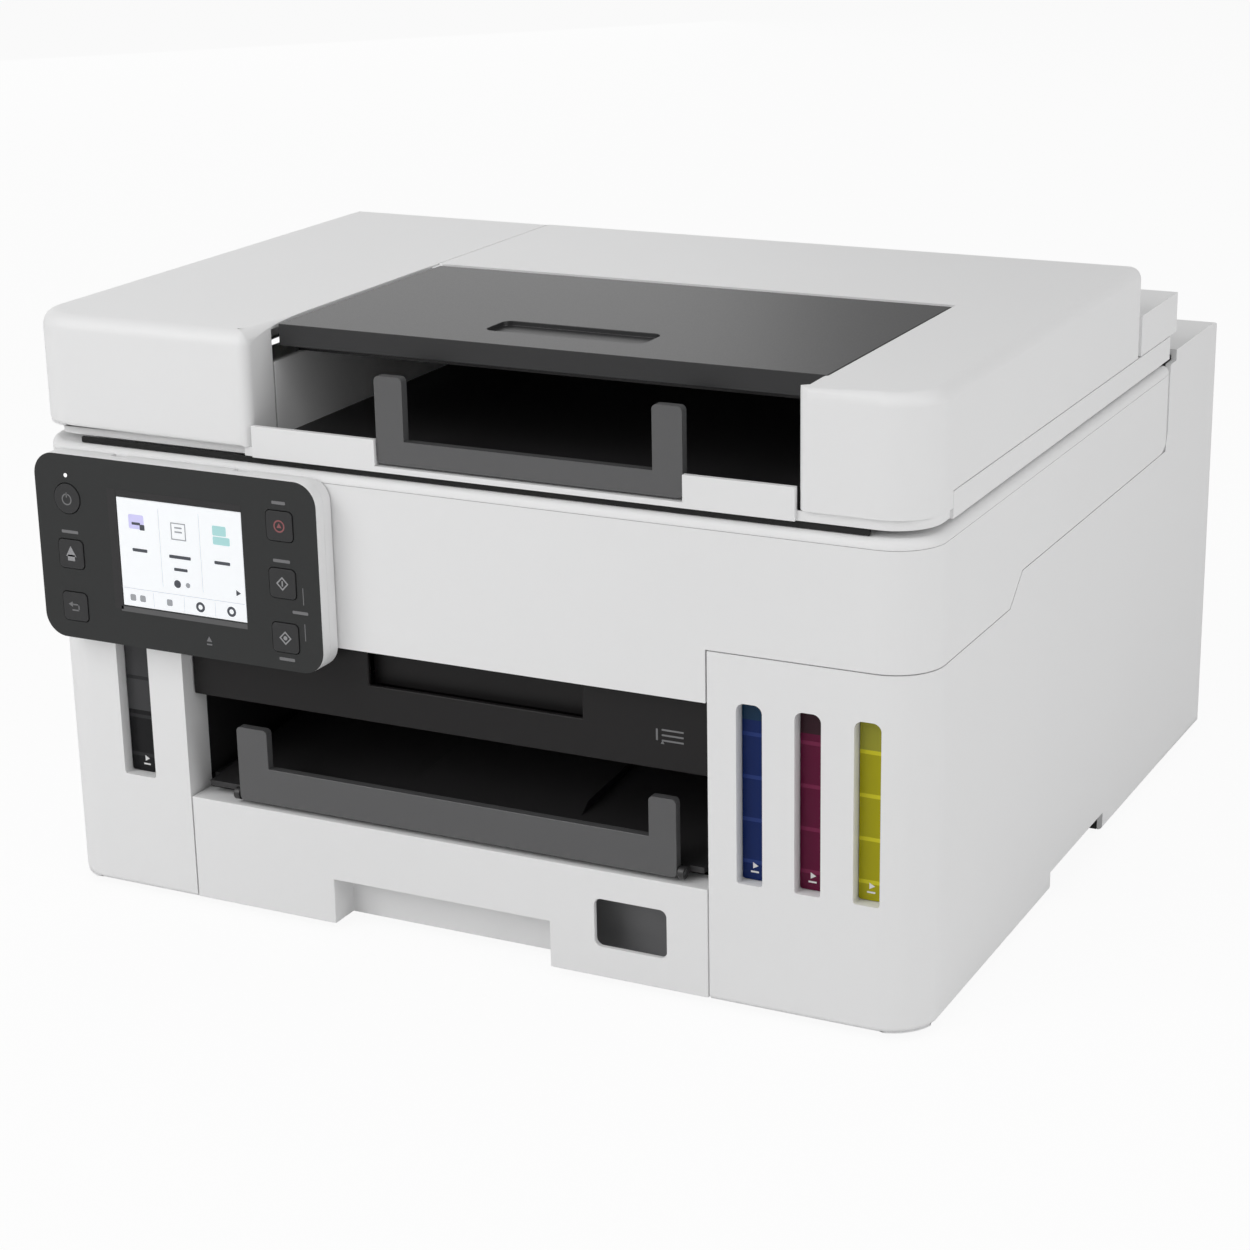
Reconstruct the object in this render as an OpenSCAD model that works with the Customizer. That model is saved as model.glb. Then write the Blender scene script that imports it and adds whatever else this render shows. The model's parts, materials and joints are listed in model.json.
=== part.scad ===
// Refillable-tank inkjet printer with a sheet feeder, a paper cassette and a tilting panel.
// Millimetres, +Z up. The origin is the centre of the footprint, on the surface it stands on.

/* [Body] */
// Width of the body
body_w = 399; // [385:1:480]
// Depth of the body, without the operation panel
body_d = 398; // [392:1:470]
// How far the operation panel stands out in front
panel_proud = 12; // [11:0.5:15]
// Height of the rubber feet
foot_h = 3; // [2:0.5:6]
// Thickness of the plastic walls
wall = 2.5; // [2:0.1:3]
// Gap at the seams between covers
seam = 0.5; // [0.4:0.1:0.8]
// Radius of the two front corners in plan
front_r = 20; // [12:1:22]
// Radius of the two rear corners in plan
rear_r = 12; // [8:1:14]
// Radius of the upper rear edge
top_rear_r = 18; // [14:1:20]
// Width of the left tank tower
left_tower_w = 68.3; // [66:0.5:76]
// Width of the right tank tower
right_tower_w = 88.3; // [86:0.5:100]
// Height of the tower tops
tower_top = 148; // [146:1:160]
// Rise of the side seam behind the towers
seam_rise = 12; // [8:1:14]
// Height of the rear section
rear_top = 205; // [203:0.5:206]

/* [Scanner unit] */
// Depth of the scanner unit
scan_d = 310; // [300:1:314]
// Height of its top face
scan_top = 200; // [199:0.5:204]
// Height of its lower front edge between the towers
scan_apron = 127; // [122:1:132]
// Height of its floor plate
scan_floor = 168; // [166:1:174]
// Length of the scan glass
glass_w = 306; // [300:1:320]
// Width of the scan glass
glass_d = 222; // [218:1:230]
// Thickness of the scan glass
glass_t = 2.8; // [2:0.1:3]

/* [Document lid] */
// Gap between the scanner unit and the lid
lid_gap = 3; // [2.5:0.1:5]
// Height of the whole printer
total_h = 254; // [250:1:290]
// Depth of the raised part of the lid
lid_d = 262; // [250:1:270]
// Width of the feeder cover at the left
feeder_w = 109.5; // [100:0.5:120]
// Width of the solid part at the right of the document slot
lid_right_w = 51.5; // [44:0.5:60]
// Height of the floor of the document slot
slot_floor = 207; // [206:0.5:212]
// Thickness of the document tray stack
tray_stack = 16; // [14:0.5:20]
// Depth of the tray cover
tray_d = 133; // [110:1:150]
// Set-back of the tray cover's front edge
tray_back = 20; // [14:1:26]
// Height of the lid's rear hinge housing
hinge_top = 232; // [230:1:240]

/* [Operation panel] */
// Width of the panel
panel_w = 138; // [130:1:150]
// Height of the panel
panel_h = 80; // [76:1:84]
// Distance of the panel's left edge from the body's left side
panel_left = 8.5; // [6:0.5:20]
// Height of the panel's top edge
panel_top = 198.5; // [196:0.5:199]
// Corner radius of the panel
panel_r = 10; // [6:1:12]
// Width of the screen
screen_w = 61; // [56:1:66]
// Height of the screen
screen_h = 46.5; // [42:0.5:50]
// Size of the panel buttons
button_s = 12.5; // [10:0.5:13]

/* [Paper path] */
// Height of the cassette's front panel top
cassette_top = 49.7; // [46:0.5:53]
// Length of the cassette behind its front panel
cassette_l = 330; // [320:1:350]
// Width of the grip pocket under the cassette front
grip_w = 101.9; // [80:1:120]
// Height of the grip pocket
grip_h = 20.4; // [14:0.5:24]
// Height of the lower edge of the dark fascia
fascia_low = 94; // [92:1:98]
// Set-back of the fascia
fascia_back = 7; // [5:0.5:10]
// Radius of the line feed roller
feed_r = 7; // [6:0.5:8]
// Teeth of the line feed gear
feed_teeth = 68; // [60:4:72]
// Teeth of the eject roller gear
eject_teeth = 44; // [40:2:48]
// Gear module
gear_m = 1; // [0.9:0.05:1.1]

/* [Ink tanks] */
// Width of one colour tank
tank_w = 23; // [20:0.5:24]
// Width of the black tank
black_tank_w = 48; // [44:0.5:50]
// Depth of the tanks
tank_d = 86; // [70:1:88]
// Height of the tank bottoms
tank_low = 44; // [40:1:50]
// Height of the tank shoulders
tank_high = 136; // [130:1:138]
// Wall of the tanks
tank_wall = 1.6; // [1.2:0.1:2]
// Pitch of the colour tanks
tank_pitch = 24.1; // [24:0.1:26]
// Width of a tank window
window_w = 10.8; // [8:0.2:12]
// Height of the lower end of the windows
window_low = 55; // [52:0.5:60]
// Height of the upper end of the windows
window_high = 129; // [120:0.5:130]
// How far the sight bars stand behind the front
window_set = 5.3; // [4:0.1:8]

/* [Hidden] */
$fn = 48;

hw = body_w / 2;
front_y = -(body_d + panel_proud) / 2 + panel_proud;
back_y = front_y + body_d;
panel_y = front_y - panel_proud;
bay_l = -hw + left_tower_w;
bay_r = hw - right_tower_w;
run = 0.3;
fit = 0.05;
scan_back = front_y + scan_d - seam;
step_z = tower_top + seam_rise;
step_y0 = front_y + 93;
step_y1 = step_y0 + 14;
lid_z0 = scan_top + lid_gap;
lid_back = front_y + lid_d;
hinge_back = scan_back + 7;
ledge_back = hinge_back + 2.5;
lid_pin_y = hinge_back - 10;
lid_pin_z = hinge_top - 10;
scan_pin_y = scan_back + 4;
scan_pin_z = scan_top + 6;
slot_l = -hw + feeder_w;
slot_r = hw - lid_right_w;
tray_front = front_y + tray_back;
tray_rear = tray_front + tray_d;
shelf_z = total_h - tray_stack;
belly = foot_h + 3;
tank_front = front_y + window_set + 1;
caps_z = tank_high + 3;

// A block between two opposite corners
module block(a, b) {
  translate(a) cube([b[0] - a[0], b[1] - a[1], b[2] - a[2]]);
}

// A rectangle with round corners between two opposite corners
module rrect(a, b, r) {
  translate([a[0] + r, a[1]]) square([b[0] - a[0] - 2 * r, b[1] - a[1]]);
  translate([a[0], a[1] + r]) square([b[0] - a[0], b[1] - a[1] - 2 * r]);
  for (x = [a[0] + r, b[0] - r], y = [a[1] + r, b[1] - r]) translate([x, y]) circle(r);
}

// A standing block with round vertical edges
module rblock(a, b, r) {
  translate([0, 0, a[2]]) linear_extrude(b[2] - a[2]) rrect(a, b, r);
}

// A block with round edges along Y, drawn from the front
module fblock(a, b, r) {
  translate([0, b[1], 0]) rotate([90, 0, 0]) linear_extrude(b[1] - a[1])
    rrect([a[0], a[2]], [b[0], b[2]], r);
}

// An outline in Y and Z, extruded along X between two values
module along_x(x0, x1) {
  translate([x0, 0, 0]) rotate([90, 0, 90]) linear_extrude(x1 - x0) children();
}

// A cylinder along X, Y or Z
module rod_x(x0, x1, y, z, r) {
  translate([x0, y, z]) rotate([0, 90, 0]) cylinder(h = x1 - x0, r = r);
}
module rod_y(x, y0, y1, z, r) {
  translate([x, y0, z]) rotate([-90, 0, 0]) cylinder(h = y1 - y0, r = r);
}
module rod_z(x, y, z0, z1, r) {
  translate([x, y, z0]) cylinder(h = z1 - z0, r = r);
}

// The plan of the body, drawn in by a wall and cut off at a back edge
module body_plan(inset, back, rear) {
  rf = front_r - inset;
  rb = rear - inset;
  x = hw - inset;
  y0 = front_y + inset;
  y1 = back - inset;
  translate([-x, y0 + rf]) square([2 * x, y1 - y0 - rf - rb]);
  translate([-x + rf, y0]) square([2 * (x - rf), rf + 1]);
  translate([-x + rb, y1 - rb - 1]) square([2 * (x - rb), rb + 1]);
  for (s = [-1, 1]) {
    translate([s * (x - rf), y0 + rf]) circle(rf);
    translate([s * (x - rb), y1 - rb]) circle(rb);
  }
}

// The side outline of the scanner unit in Y and Z, grown by g
module scan_side(g) {
  r = 10;
  y0 = front_y - 20;
  yb = scan_back + g;
  zs = step_z + seam - g;
  zt = tower_top + seam - g;
  translate([y0, zs]) square([yb - y0 - r - g, 100]);
  translate([yb - r - g - 1, zs + r + g]) square([r + g + 1, 100]);
  translate([yb - r - g, zs + r + g]) circle(r + g);
  polygon([[y0, zt], [step_y0 + g, zt], [step_y1 + g, zs], [step_y1 + g, zs + 2], [y0, zs + 2]]);
}

// The side outline of the lower body in Y and Z, drawn in by a wall, round at the top rear edge
module body_side(inset) {
  translate([front_y - 1, 0]) square([body_d + 1 - top_rear_r, rear_top - inset]);
  translate([front_y - 1, 0]) square([body_d + 1 - inset, rear_top - top_rear_r]);
  translate([back_y - top_rear_r, rear_top - top_rear_r]) circle(top_rear_r - inset);
}

// The lower body as a solid, drawn in by a wall
module body_solid(inset) {
  intersection() {
    translate([0, 0, foot_h - inset]) linear_extrude(rear_top) body_plan(inset, back_y, rear_r);
    along_x(-hw - 1, hw + 1) body_side(inset);
  }
}

// The wall that runs round the lower body, up to the side seam, and its rear deck
module cover_shell() {
  difference() {
    body_solid(0);
    body_solid(wall);
    along_x(-hw - 1, hw + 1) {
      scan_side(seam);
      translate([front_y - 2, step_z]) square([scan_back - front_y, 60]);
      translate([scan_back - 1, scan_top]) square([ledge_back - scan_back + 1, 20]);
    }
    // Finger cut under each side
    block([-hw - 1, -37, foot_h - 1], [hw + 1, 37, foot_h + 8.5]);
  }
}

// An upright pane between two depths, rounder at its top, grown by g
module pane(x, w, g, y0, y1) {
  fblock([x - w / 2 - g, y0, window_low - g], [x + w / 2 + g, y1, window_high - 6], 1.2 + g);
  fblock([x - w / 2 - g, y0, window_low + 6], [x + w / 2 + g, y1, window_high + g], 3.4 + g);
}

// Window in a front wall, and the collar that runs from it back to the tank
module window_cut(x, w) { pane(x, w, 0, front_y - 1, tank_front); }
module window_collar(x, w) { pane(x, w, 1.5, front_y + wall - 0.5, tank_front - run); }

black_x = -hw + wall + run + 5 + black_tank_w / 2 - 2;
black_win_w = 16;
black_win_x = -hw + 42.5;
cyan_x = bay_r + 17.6;
magenta_x = cyan_x + tank_pitch;
yellow_x = magenta_x + tank_pitch;

module left_cover() {
  color("gainsboro") difference() {
    union() {
      intersection() {
        cover_shell();
        union() {
          block([-hw - 1, front_y - 1, 0], [bay_l - seam / 2, front_y + 40, 300]);
          block([-hw - 1, front_y + 40, 0], [-hw + 40, back_y + 1, 300]);
        }
      }
      block([bay_l - seam / 2 - wall, front_y + wall - 0.5, foot_h],
        [bay_l - seam / 2, front_y + 16, tower_top]);
      window_collar(black_win_x, black_win_w);
    }
    window_cut(black_win_x, black_win_w);
  }
}

module right_cover() {
  color("gainsboro") difference() {
    union() {
      intersection() {
        cover_shell();
        union() {
          block([bay_r + seam / 2, front_y - 1, 0], [hw + 1, front_y + 40, 300]);
          block([hw - 40, front_y + 40, 0], [hw + 1, back_y + 1, 300]);
        }
      }
      block([bay_r + seam / 2, front_y + wall - 0.5, foot_h],
        [bay_r + seam / 2 + wall, front_y + 16, tower_top]);
      for (x = [cyan_x, magenta_x, yellow_x]) window_collar(x, window_w);
    }
    for (x = [cyan_x, magenta_x, yellow_x]) window_cut(x, window_w);
  }
}

rear_x = hw - 40 - seam;
inlet_x = -rear_x + 34;
cart_x0 = rear_x - 44;
cart_x1 = rear_x - 6;
cart_z0 = belly + 6;
cart_z1 = cart_z0 + 40;
cart_l = 70;
flap_x = 118;
flap_y0 = ledge_back + 5.5;
flap_y1 = back_y - 17;

// Rear panel, and the deck between the two side covers
module rear_cover() {
  color("gainsboro") difference() {
    union() {
      intersection() {
        cover_shell();
        block([-rear_x, ledge_back, 0], [rear_x, back_y + 1, 300]);
      }
      block([-rear_x, ledge_back, rear_top - top_rear_r], [rear_x, ledge_back + wall, rear_top - 1]);
      // Paper chute of the rear tray
      block([-flap_x - wall, flap_y0 - 4 - wall, rear_top - 40],
        [flap_x + wall, flap_y0 - 4, rear_top - 1]);
      for (s = [-1, 1]) block([s * flap_x - (s < 0 ? wall : 0), flap_y0 - 5, rear_top - 40],
        [s * flap_x + (s > 0 ? wall : 0), flap_y1 - 3, rear_top - 1]);
    }
    block([-flap_x, flap_y0 - 2, rear_top - wall - 1], [flap_x, flap_y1 + 0.5, rear_top + 1]);
    for (s = [-1, 1]) rod_x(s * flap_x - (s < 0 ? 3 : 0), s * flap_x + (s > 0 ? 3 :
      0), flap_y1 - 2, rear_top - 2, 1.2 + fit);
    block([inlet_x - 12, back_y - wall - 1, 30], [inlet_x + 12, back_y + 1, 48]);
    block([inlet_x + 30, back_y - wall - 1, 30], [inlet_x + 66, back_y + 1, 48]);
    block([cart_x0 - run, back_y - wall - 1, cart_z0 - run], [cart_x1 + run, back_y + 1, cart_z1 + run]);
    for (z = [64 : 6 : 100]) fblock([-40, back_y - wall - 1, z], [40, back_y + 1, z + 2.4], 1.19);
  }
}

// Dark fascia above the output slot, with a grip recess in its upper edge
module front_fascia() {
  y0 = front_y + fascia_back;
  color("dimgray") difference() {
    union() {
      block([bay_l + run, y0, fascia_low], [bay_r - run, y0 + wall, scan_apron + 14]);
      block([bay_l + run, y0 + wall - 0.1, fascia_low], [bay_r - run, y0 + 22, fascia_low + wall]);
      block([-47, y0 + 14, fascia_low + 1], [57, y0 + 16, scan_apron + 14]);
    }
    block([-44, y0 - 1, fascia_low + 16], [54, y0 + wall + 1, scan_apron + 20]);
  }
}

// Base moulding: floor, bay walls, tank shelves, ribs and screw posts
module base_chassis() {
  color("darkgray") difference() {
    union() {
      translate([0, 0, foot_h]) linear_extrude(3) intersection() {
        body_plan(wall + run, back_y, rear_r);
        translate([-hw, front_y + 18]) square([body_w, body_d - 18]);
      }
      for (s = [-1, 1]) {
        x = s < 0 ? bay_l - seam - 2 * wall : bay_r + seam + wall;
        block([x, front_y + 17, belly - 0.5], [x + wall, front_y + 300, tank_low - 4]);
        block([x, front_y + 17, tank_low - 5], [x + wall, front_y + 127, fascia_low - 2]);
        block([s < 0 ? x : x - 6, front_y + 20, cassette_top + 0.9], [s < 0 ? x + wall + 6 :
          x + wall, front_y + 126, cassette_top + 2.9]);
      }
      block([-hw + wall + run + 1, front_y + 17, tank_low - 4],
        [bay_l - seam - wall, front_y + 17 + tank_d, tank_low - 1]);
      block([bay_r + seam + wall, front_y + 17, tank_low - 4],
        [hw - wall - run - 1, front_y + 17 + tank_d, tank_low - 1]);
      for (s = [-1, 1]) block([s * (hw - wall - 5) - 2, front_y + 60, belly - 0.5],
        [s * (hw - wall - 5) + 2, front_y + 90, tank_low - 3]);
      for (s = [-1, 1], y = [-40, 60, 150]) rod_z(s * (hw - 14), y, belly - 0.5, belly + 59.5, 4);
      // Guides of the maintenance cartridge
      block([cart_x0 - 3, back_y - cart_l - 8, belly - 0.5],
        [cart_x1 + 3, back_y - wall - run, cart_z0 - run]);
    }
    for (s = [-1, 1], y = [front_y + 40, back_y - 34])
      rod_z(s * (hw - 30), y, foot_h - 1, foot_h + 1.6, 6.05);
    for (s = [-1, 1], y = [-40, 60, 150]) rod_z(s * (hw - 14), y, belly + 47, belly + 62, 1.5);
    block([-hw - 1, -37, foot_h - 1], [-hw + 9, 37, belly + 6]);
    block([hw - 9, -37, foot_h - 1], [hw + 1, 37, belly + 6]);
  }
}

module rubber_feet() {
  color("black") for (s = [-1, 1], y = [front_y + 40, back_y - 34]) translate([s * (hw - 30), y, 0]) {
    cylinder(h = foot_h, r = 10);
    cylinder(h = foot_h + 1.5, r = 6);
  }
}

frame_y = 96;
rail_y = 34;
rail_z = 132;
shaft_r = 3;
shaft_z = 81;
feed_y = 2;
eject_y = feed_y - gear_m * (feed_teeth + eject_teeth) / 2;
pickup_y = 80;
pickup_z = 68;
motor_y = 56;
motor_z = 78;
belt_y = frame_y - 17;
head_x = bay_r - 64;

// Sheet-metal back plate with two bent side cheeks, feet and the scanner hinge posts
module metal_frame() {
  l = bay_l - 6;
  r = bay_r + 6;
  color("silver") difference() {
    union() {
      block([l, frame_y, 58], [r, frame_y + 1.5, 150]);
      for (x = [l, r - 1.5]) block([x, -64, 58], [x + 1.5, frame_y + 1, 150]);
      for (x = [l, r - 1.5]) block([x, frame_y + 0.5, 140], [x + 1.5, ledge_back - 2, 150]);
      for (s = [-1, 1], dx = [-8, 8]) {
        x = s * 150 + dx;
        block([x - 1.5, scan_back + 1.2, rear_top - 46], [x + 1.5, ledge_back - 0.6, scan_top - 0.6]);
        along_x(x - 1.5, x + 1.5) intersection() {
          translate([scan_pin_y, scan_pin_z]) {
            circle(4.5);
            translate([-2.8, -10]) square([5.6, 10]);
          }
          translate([scan_back + 0.8, scan_top - 1]) square([12, 12]);
        }
      }
      block([-160, scan_back + 1.2, rear_top - 46], [160, ledge_back - 0.6, rear_top - 42]);
      for (s = [-1, 1]) rod_x(s * 150 - 9.5, s * 150 + 9.5, scan_pin_y, scan_pin_z, 2);
      block([l, scan_back + 1.2, 146], [l + 1.5, ledge_back - 0.6, rear_top - 42]);
      block([r - 1.5, scan_back + 1.2, 146], [r, ledge_back - 0.6, rear_top - 42]);
    }
    for (x = [l - 1, r - 2.5], y = [feed_y, eject_y]) rod_x(x, x + 3.5, y, shaft_z, shaft_r + fit);
    for (x = [l - 1, r - 2.5]) rod_x(x, x + 3.5, pickup_y, pickup_z, shaft_r + fit);
    rod_x(l - 1, l + 2.5, motor_y, motor_z, 5.5);
  }
}

// Carriage guide: a folded rail with a slide lip, hung on the back plate
module carriage_rail() {
  l = bay_l - 4.4;
  r = bay_r + 4.4;
  color("lightgray") difference() {
    union() {
      block([l, rail_y, rail_z - 1.5], [r, frame_y - 0.05, rail_z]);
      block([l, rail_y - 1.5, rail_z - 1.5], [r, rail_y, rail_z + 10]);
    }
    rod_z(bay_l + 16, belt_y, rail_z - 3, rail_z + 1, 2);
  }
}

module platen() {
  l = bay_l - 4.2;
  r = head_x - 6;
  color("black") {
    block([l, -44, 74], [r, -8, 79.5]);
    for (i = [0 : 11]) block([l + 8 + i * (r - l - 18) / 11, -43, 79],
      [l + 10 + i * (r - l - 18) / 11, -9, 80.6]);
    block([l, -8.5, 66], [r, 14, 69]);
    for (x = [l, r - 3]) block([x, -44, 58], [x + 3, -8, 74.5]);
    for (x = [l, r - 3]) block([x, -9, 58], [x + 3, 14, 69]);
    for (x = [l, r - 3]) block([x, 13, 58], [x + 3, pickup_y - 16, 61]);
  }
}

module purge_unit() {
  x0 = head_x;
  color("dimgray") difference() {
    union() {
      block([x0, -44, 62], [x0 + 56, -6, 72]);
      block([x0 + 50, -6.5, 62], [x0 + 68.4, -2.5, 72]);
      for (dx = [4, 31]) rblock([x0 + dx, -42, 71.5], [x0 + dx + 21, -10, 81.6], 3);
    }
    for (dx = [6, 33]) rblock([x0 + dx, -40, 76], [x0 + dx + 17, -12, 85], 2);
  }
}

// Drive motors: the carriage motor under the rail and the line feed motor outside the left cheek
module drive_motors() {
  color("silver") {
    rod_z(bay_l + 16, belt_y, rail_z - 30, rail_z - 1.8, 13);
    rod_z(bay_l + 16, belt_y, rail_z - 2, rail_z + 0.9, 1.6);
    rod_x(bay_l - 40, bay_l - 6.3, motor_y, motor_z, 13);
    rod_x(bay_l - 6.5, bay_l - 2, motor_y, motor_z, 4);
  }
}

module timing_belt() {
  l = bay_l + 16;
  r = bay_r - 16;
  z0 = rail_z + 2;
  color("black") translate([0, 0, z0]) linear_extrude(5) difference() {
    union() {
      translate([l, belt_y - 5]) square([r - l, 10]);
      for (x = [l, r]) translate([x, belt_y]) circle(5);
    }
    translate([l, belt_y - 4]) square([r - l, 8]);
    for (x = [l, r]) translate([x, belt_y]) circle(4);
  }
  color("white") {
    for (x = [l, r]) rod_z(x, belt_y, z0 - 1, z0 + 6, 4);
    rod_z(r, belt_y, rail_z + 0.05, z0 - 0.9, 2);
  }
}

module power_supply() {
  color("dimgray") block([-hw + 20, 112, belly], [-hw + 66, back_y - 34, belly + 46]);
}

module main_board() {
  color("green") {
    block([-52, back_y - 16, belly], [58, back_y - 14.4, 104]);
    for (x = [-42 : 26 : 36]) block([x, back_y - 20, 60], [x + 16, back_y - 15.9, 76]);
  }
}

module power_inlet() {
  color("black") difference() {
    union() {
      block([inlet_x - 11.7, back_y - 22, 30.3], [inlet_x + 11.7, back_y - 0.3, 47.7]);
      block([inlet_x - 15, back_y - wall - 2.3, 27], [inlet_x + 15, back_y - wall - 0.3, 51]);
    }
    fblock([inlet_x - 8.5, back_y - 16, 34], [inlet_x + 8.5, back_y + 1, 44], 4.9);
  }
  color("silver") for (s = [-1, 1]) rod_y(inlet_x + s * 4.3, back_y - 16.5, back_y - 4, 39, 1.2);
}

module port_block() {
  x0 = inlet_x + 30.3;
  x1 = inlet_x + 65.7;
  color("silver") difference() {
    block([x0, back_y - 20, 30.3], [x1, back_y - 0.3, 47.7]);
    block([x0 + 2, back_y - 14, 33], [x0 + 14, back_y + 1, 44]);
    block([x0 + 18, back_y - 14, 33], [x1 - 2, back_y + 1, 45.5]);
  }
}

// A tank: hollow body, sight bar in the window, neck and hinge ears for its cap
module tank(x, w, win_x, win_w) {
  y0 = tank_front;
  y1 = tank_front + tank_d;
  difference() {
    union() {
      intersection() {
        block([x - w / 2, y0, tank_low], [x + w / 2, y1, tank_high]);
        linear_extrude(300) body_plan(wall + run, back_y, rear_r);
      }
      pane(win_x, win_w, -run, front_y + window_set, y0 + 1);
      rod_z(x, y0 + 26, tank_high - 0.5, caps_z, 7);
      for (s = [-1, 1]) block([x + s * 6 - 1, y0 + 37, tank_high - 0.5],
        [x + s * 6 + 1, y0 + 44, caps_z + 3.5]);
    }
    intersection() {
      block([x - w / 2 + tank_wall, y0 + tank_wall, tank_low + tank_wall],
        [x + w / 2 - tank_wall, y1 - tank_wall, tank_high - tank_wall]);
      linear_extrude(300) body_plan(wall + run + tank_wall, back_y, rear_r);
    }
    rod_z(x, y0 + 26, tank_high - tank_wall - 1, caps_z + 1, 5);
    rod_x(x - 9, x + 9, y0 + 40.5, caps_z + 0.5, 1.2 + fit);
  }
}
module ink_tank_black() { color("dimgray") tank(black_x, black_tank_w, black_win_x, black_win_w); }
module ink_tank_cyan() { color("deepskyblue") tank(cyan_x, tank_w, cyan_x, window_w); }
module ink_tank_magenta() { color("deeppink") tank(magenta_x, tank_w, magenta_x, window_w); }
module ink_tank_yellow() { color("yellow") tank(yellow_x, tank_w, yellow_x, window_w); }

// A tank cap: a lever on a hinge pin, with a plug that closes the neck
module tank_cap(x) {
  y0 = tank_front;
  rblock([x - 8, y0 + 17, caps_z + 0.1], [x + 8, y0 + 34, caps_z + 5], 4);
  block([x - 4.6, y0 + 33, caps_z + 0.8], [x + 4.6, y0 + 38.2, caps_z + 3.6]);
  rod_x(x - 4.7, x + 4.7, y0 + 40.5, caps_z + 0.5, 3.2);
  block([x - 4.6, y0 + 37.5, caps_z - 0.5], [x + 4.6, y0 + 40.5, caps_z + 3.6]);
  rod_x(x - 7.6, x + 7.6, y0 + 40.5, caps_z + 0.5, 1.2);
  rod_z(x, y0 + 26, caps_z - 1.2, caps_z + 1, 4.2);
}
module tank_cap_black() { color("black") tank_cap(black_x); }
module tank_cap_cyan() { color("black") tank_cap(cyan_x); }
module tank_cap_magenta() { color("black") tank_cap(magenta_x); }
module tank_cap_yellow() { color("black") tank_cap(yellow_x); }

tube_top = 142;

// Four tubes from the tank backs to the right-hand end of the carriage's path
module ink_tubes() {
  y = tank_front + tank_d;
  color("gray") {
    for (i = [0 : 2]) {
      x = cyan_x + i * tank_pitch;
      rod_y(x, y + 0.05, y + 40 + i * 5, tank_low + 8, 1.8);
      translate([x, y + 40 + i * 5, tank_low + 8]) sphere(1.8);
      rod_z(x, y + 40 + i * 5, tank_low + 8, tube_top, 1.8);
    }
    rod_y(black_x, y + 0.05, y + 45, tank_low + 8, 1.8);
    translate([black_x, y + 45, tank_low + 8]) sphere(1.8);
    rod_z(black_x, y + 45, tank_low + 8, tube_top, 1.8);
  }
}

// Screws: pan heads on the base posts, with shanks down into them
module cover_screws() {
  color("silver") for (s = [-1, 1], y = [-40, 60, 150]) {
    rod_z(s * (hw - 14), y, belly + 59.5, belly + 62, 3.4);
    rod_z(s * (hw - 14), y, belly + 48, belly + 60, 1.45);
  }
}

tray_l = bay_l + 3;
tray_r = bay_r - 3;
tray_low = belly + 0.4;
tray_high = cassette_top - 6;
tray_y0 = front_y + 16.4;
tray_y1 = front_y + cassette_l;
bay_mid = (bay_l + bay_r) / 2;
grip_x0 = -61.4;
sheet_w = 210;
guide_in = 0.5;

module cassette_tray() {
  color("gainsboro") difference() {
    block([tray_l, tray_y0, tray_low], [tray_r, tray_y1, tray_high]);
    block([tray_l + 2, tray_y0 + 2, tray_low + 2], [tray_r - 2, tray_y1 - 2, tray_high + 1]);
    // Slots that carry the feet of the side guides
    for (y = [-90, 10]) rblock([tray_l + 4, y - 3, tray_low - 1], [tray_r - 4, y + 3, tray_low + 3], 2.9);
  }
}

// Front panel of the cassette, with the grip pocket and the sight opening
module cassette_front() {
  x0 = bay_l + seam / 2;
  x1 = bay_r - seam / 2;
  z0 = foot_h + 0.5;
  gx = [grip_x0, grip_x0 + grip_w];
  zt = foot_h + grip_h;
  color("gainsboro") difference() {
    union() {
      block([x0, front_y, z0], [x1, front_y + wall, cassette_top]);
      block([x0, front_y, cassette_top - wall], [x1, front_y + 14, cassette_top]);
      block([gx[0] - 2, front_y + 0.5, zt], [gx[1] + 2, front_y + 16, zt + 2]);
      block([gx[0] - 2, front_y + 14, z0], [gx[1] + 2, front_y + 16, zt + 1]);
      for (x = [gx[0] - 2, gx[1]]) block([x, front_y + 0.5, z0], [x + 2, front_y + 16, zt + 1]);
      for (x = [x0 + 4, x1 - 6]) block([x, front_y + 1, tray_low], [x + 2, front_y + 16, cassette_top - 1]);
    }
    block([gx[0], front_y - 1, z0 - 1], [gx[1], front_y + 14, zt]);
    fblock([61, front_y - 1, 16.7], [92.8, front_y + wall + 0.5, 37.3], 3);
  }
}

// A paper side guide: an upright fence with a foot that runs in the tray's slots
module side_guide(s) {
  x = bay_mid + s * (sheet_w / 2 + guide_in);
  a = s < 0 ? x - 2 : x;
  block([a, -120, tray_low + 2.3], [a + 2, 40, tray_high - 3]);
  block([s < 0 ? x - 9 : x, -120, tray_low + 2.3], [s < 0 ? x : x + 9, 40, tray_low + 4.3]);
  for (y = [-90, 10]) rod_z(s < 0 ? x - 4.5 : x + 4.5, y, tray_low + 0.4, tray_low + 3, 2.4);
}
module cassette_guide_left() { color("slategray") side_guide(-1); }
module cassette_guide_right() { color("slategray") side_guide(1); }

out_x0 = bay_l + seam;
out_x1 = bay_r - seam;
sup_y = front_y + 3.5;
sup_z = cassette_top + 4;
sup_x0 = -107;
sup_x1 = 97;

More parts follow.
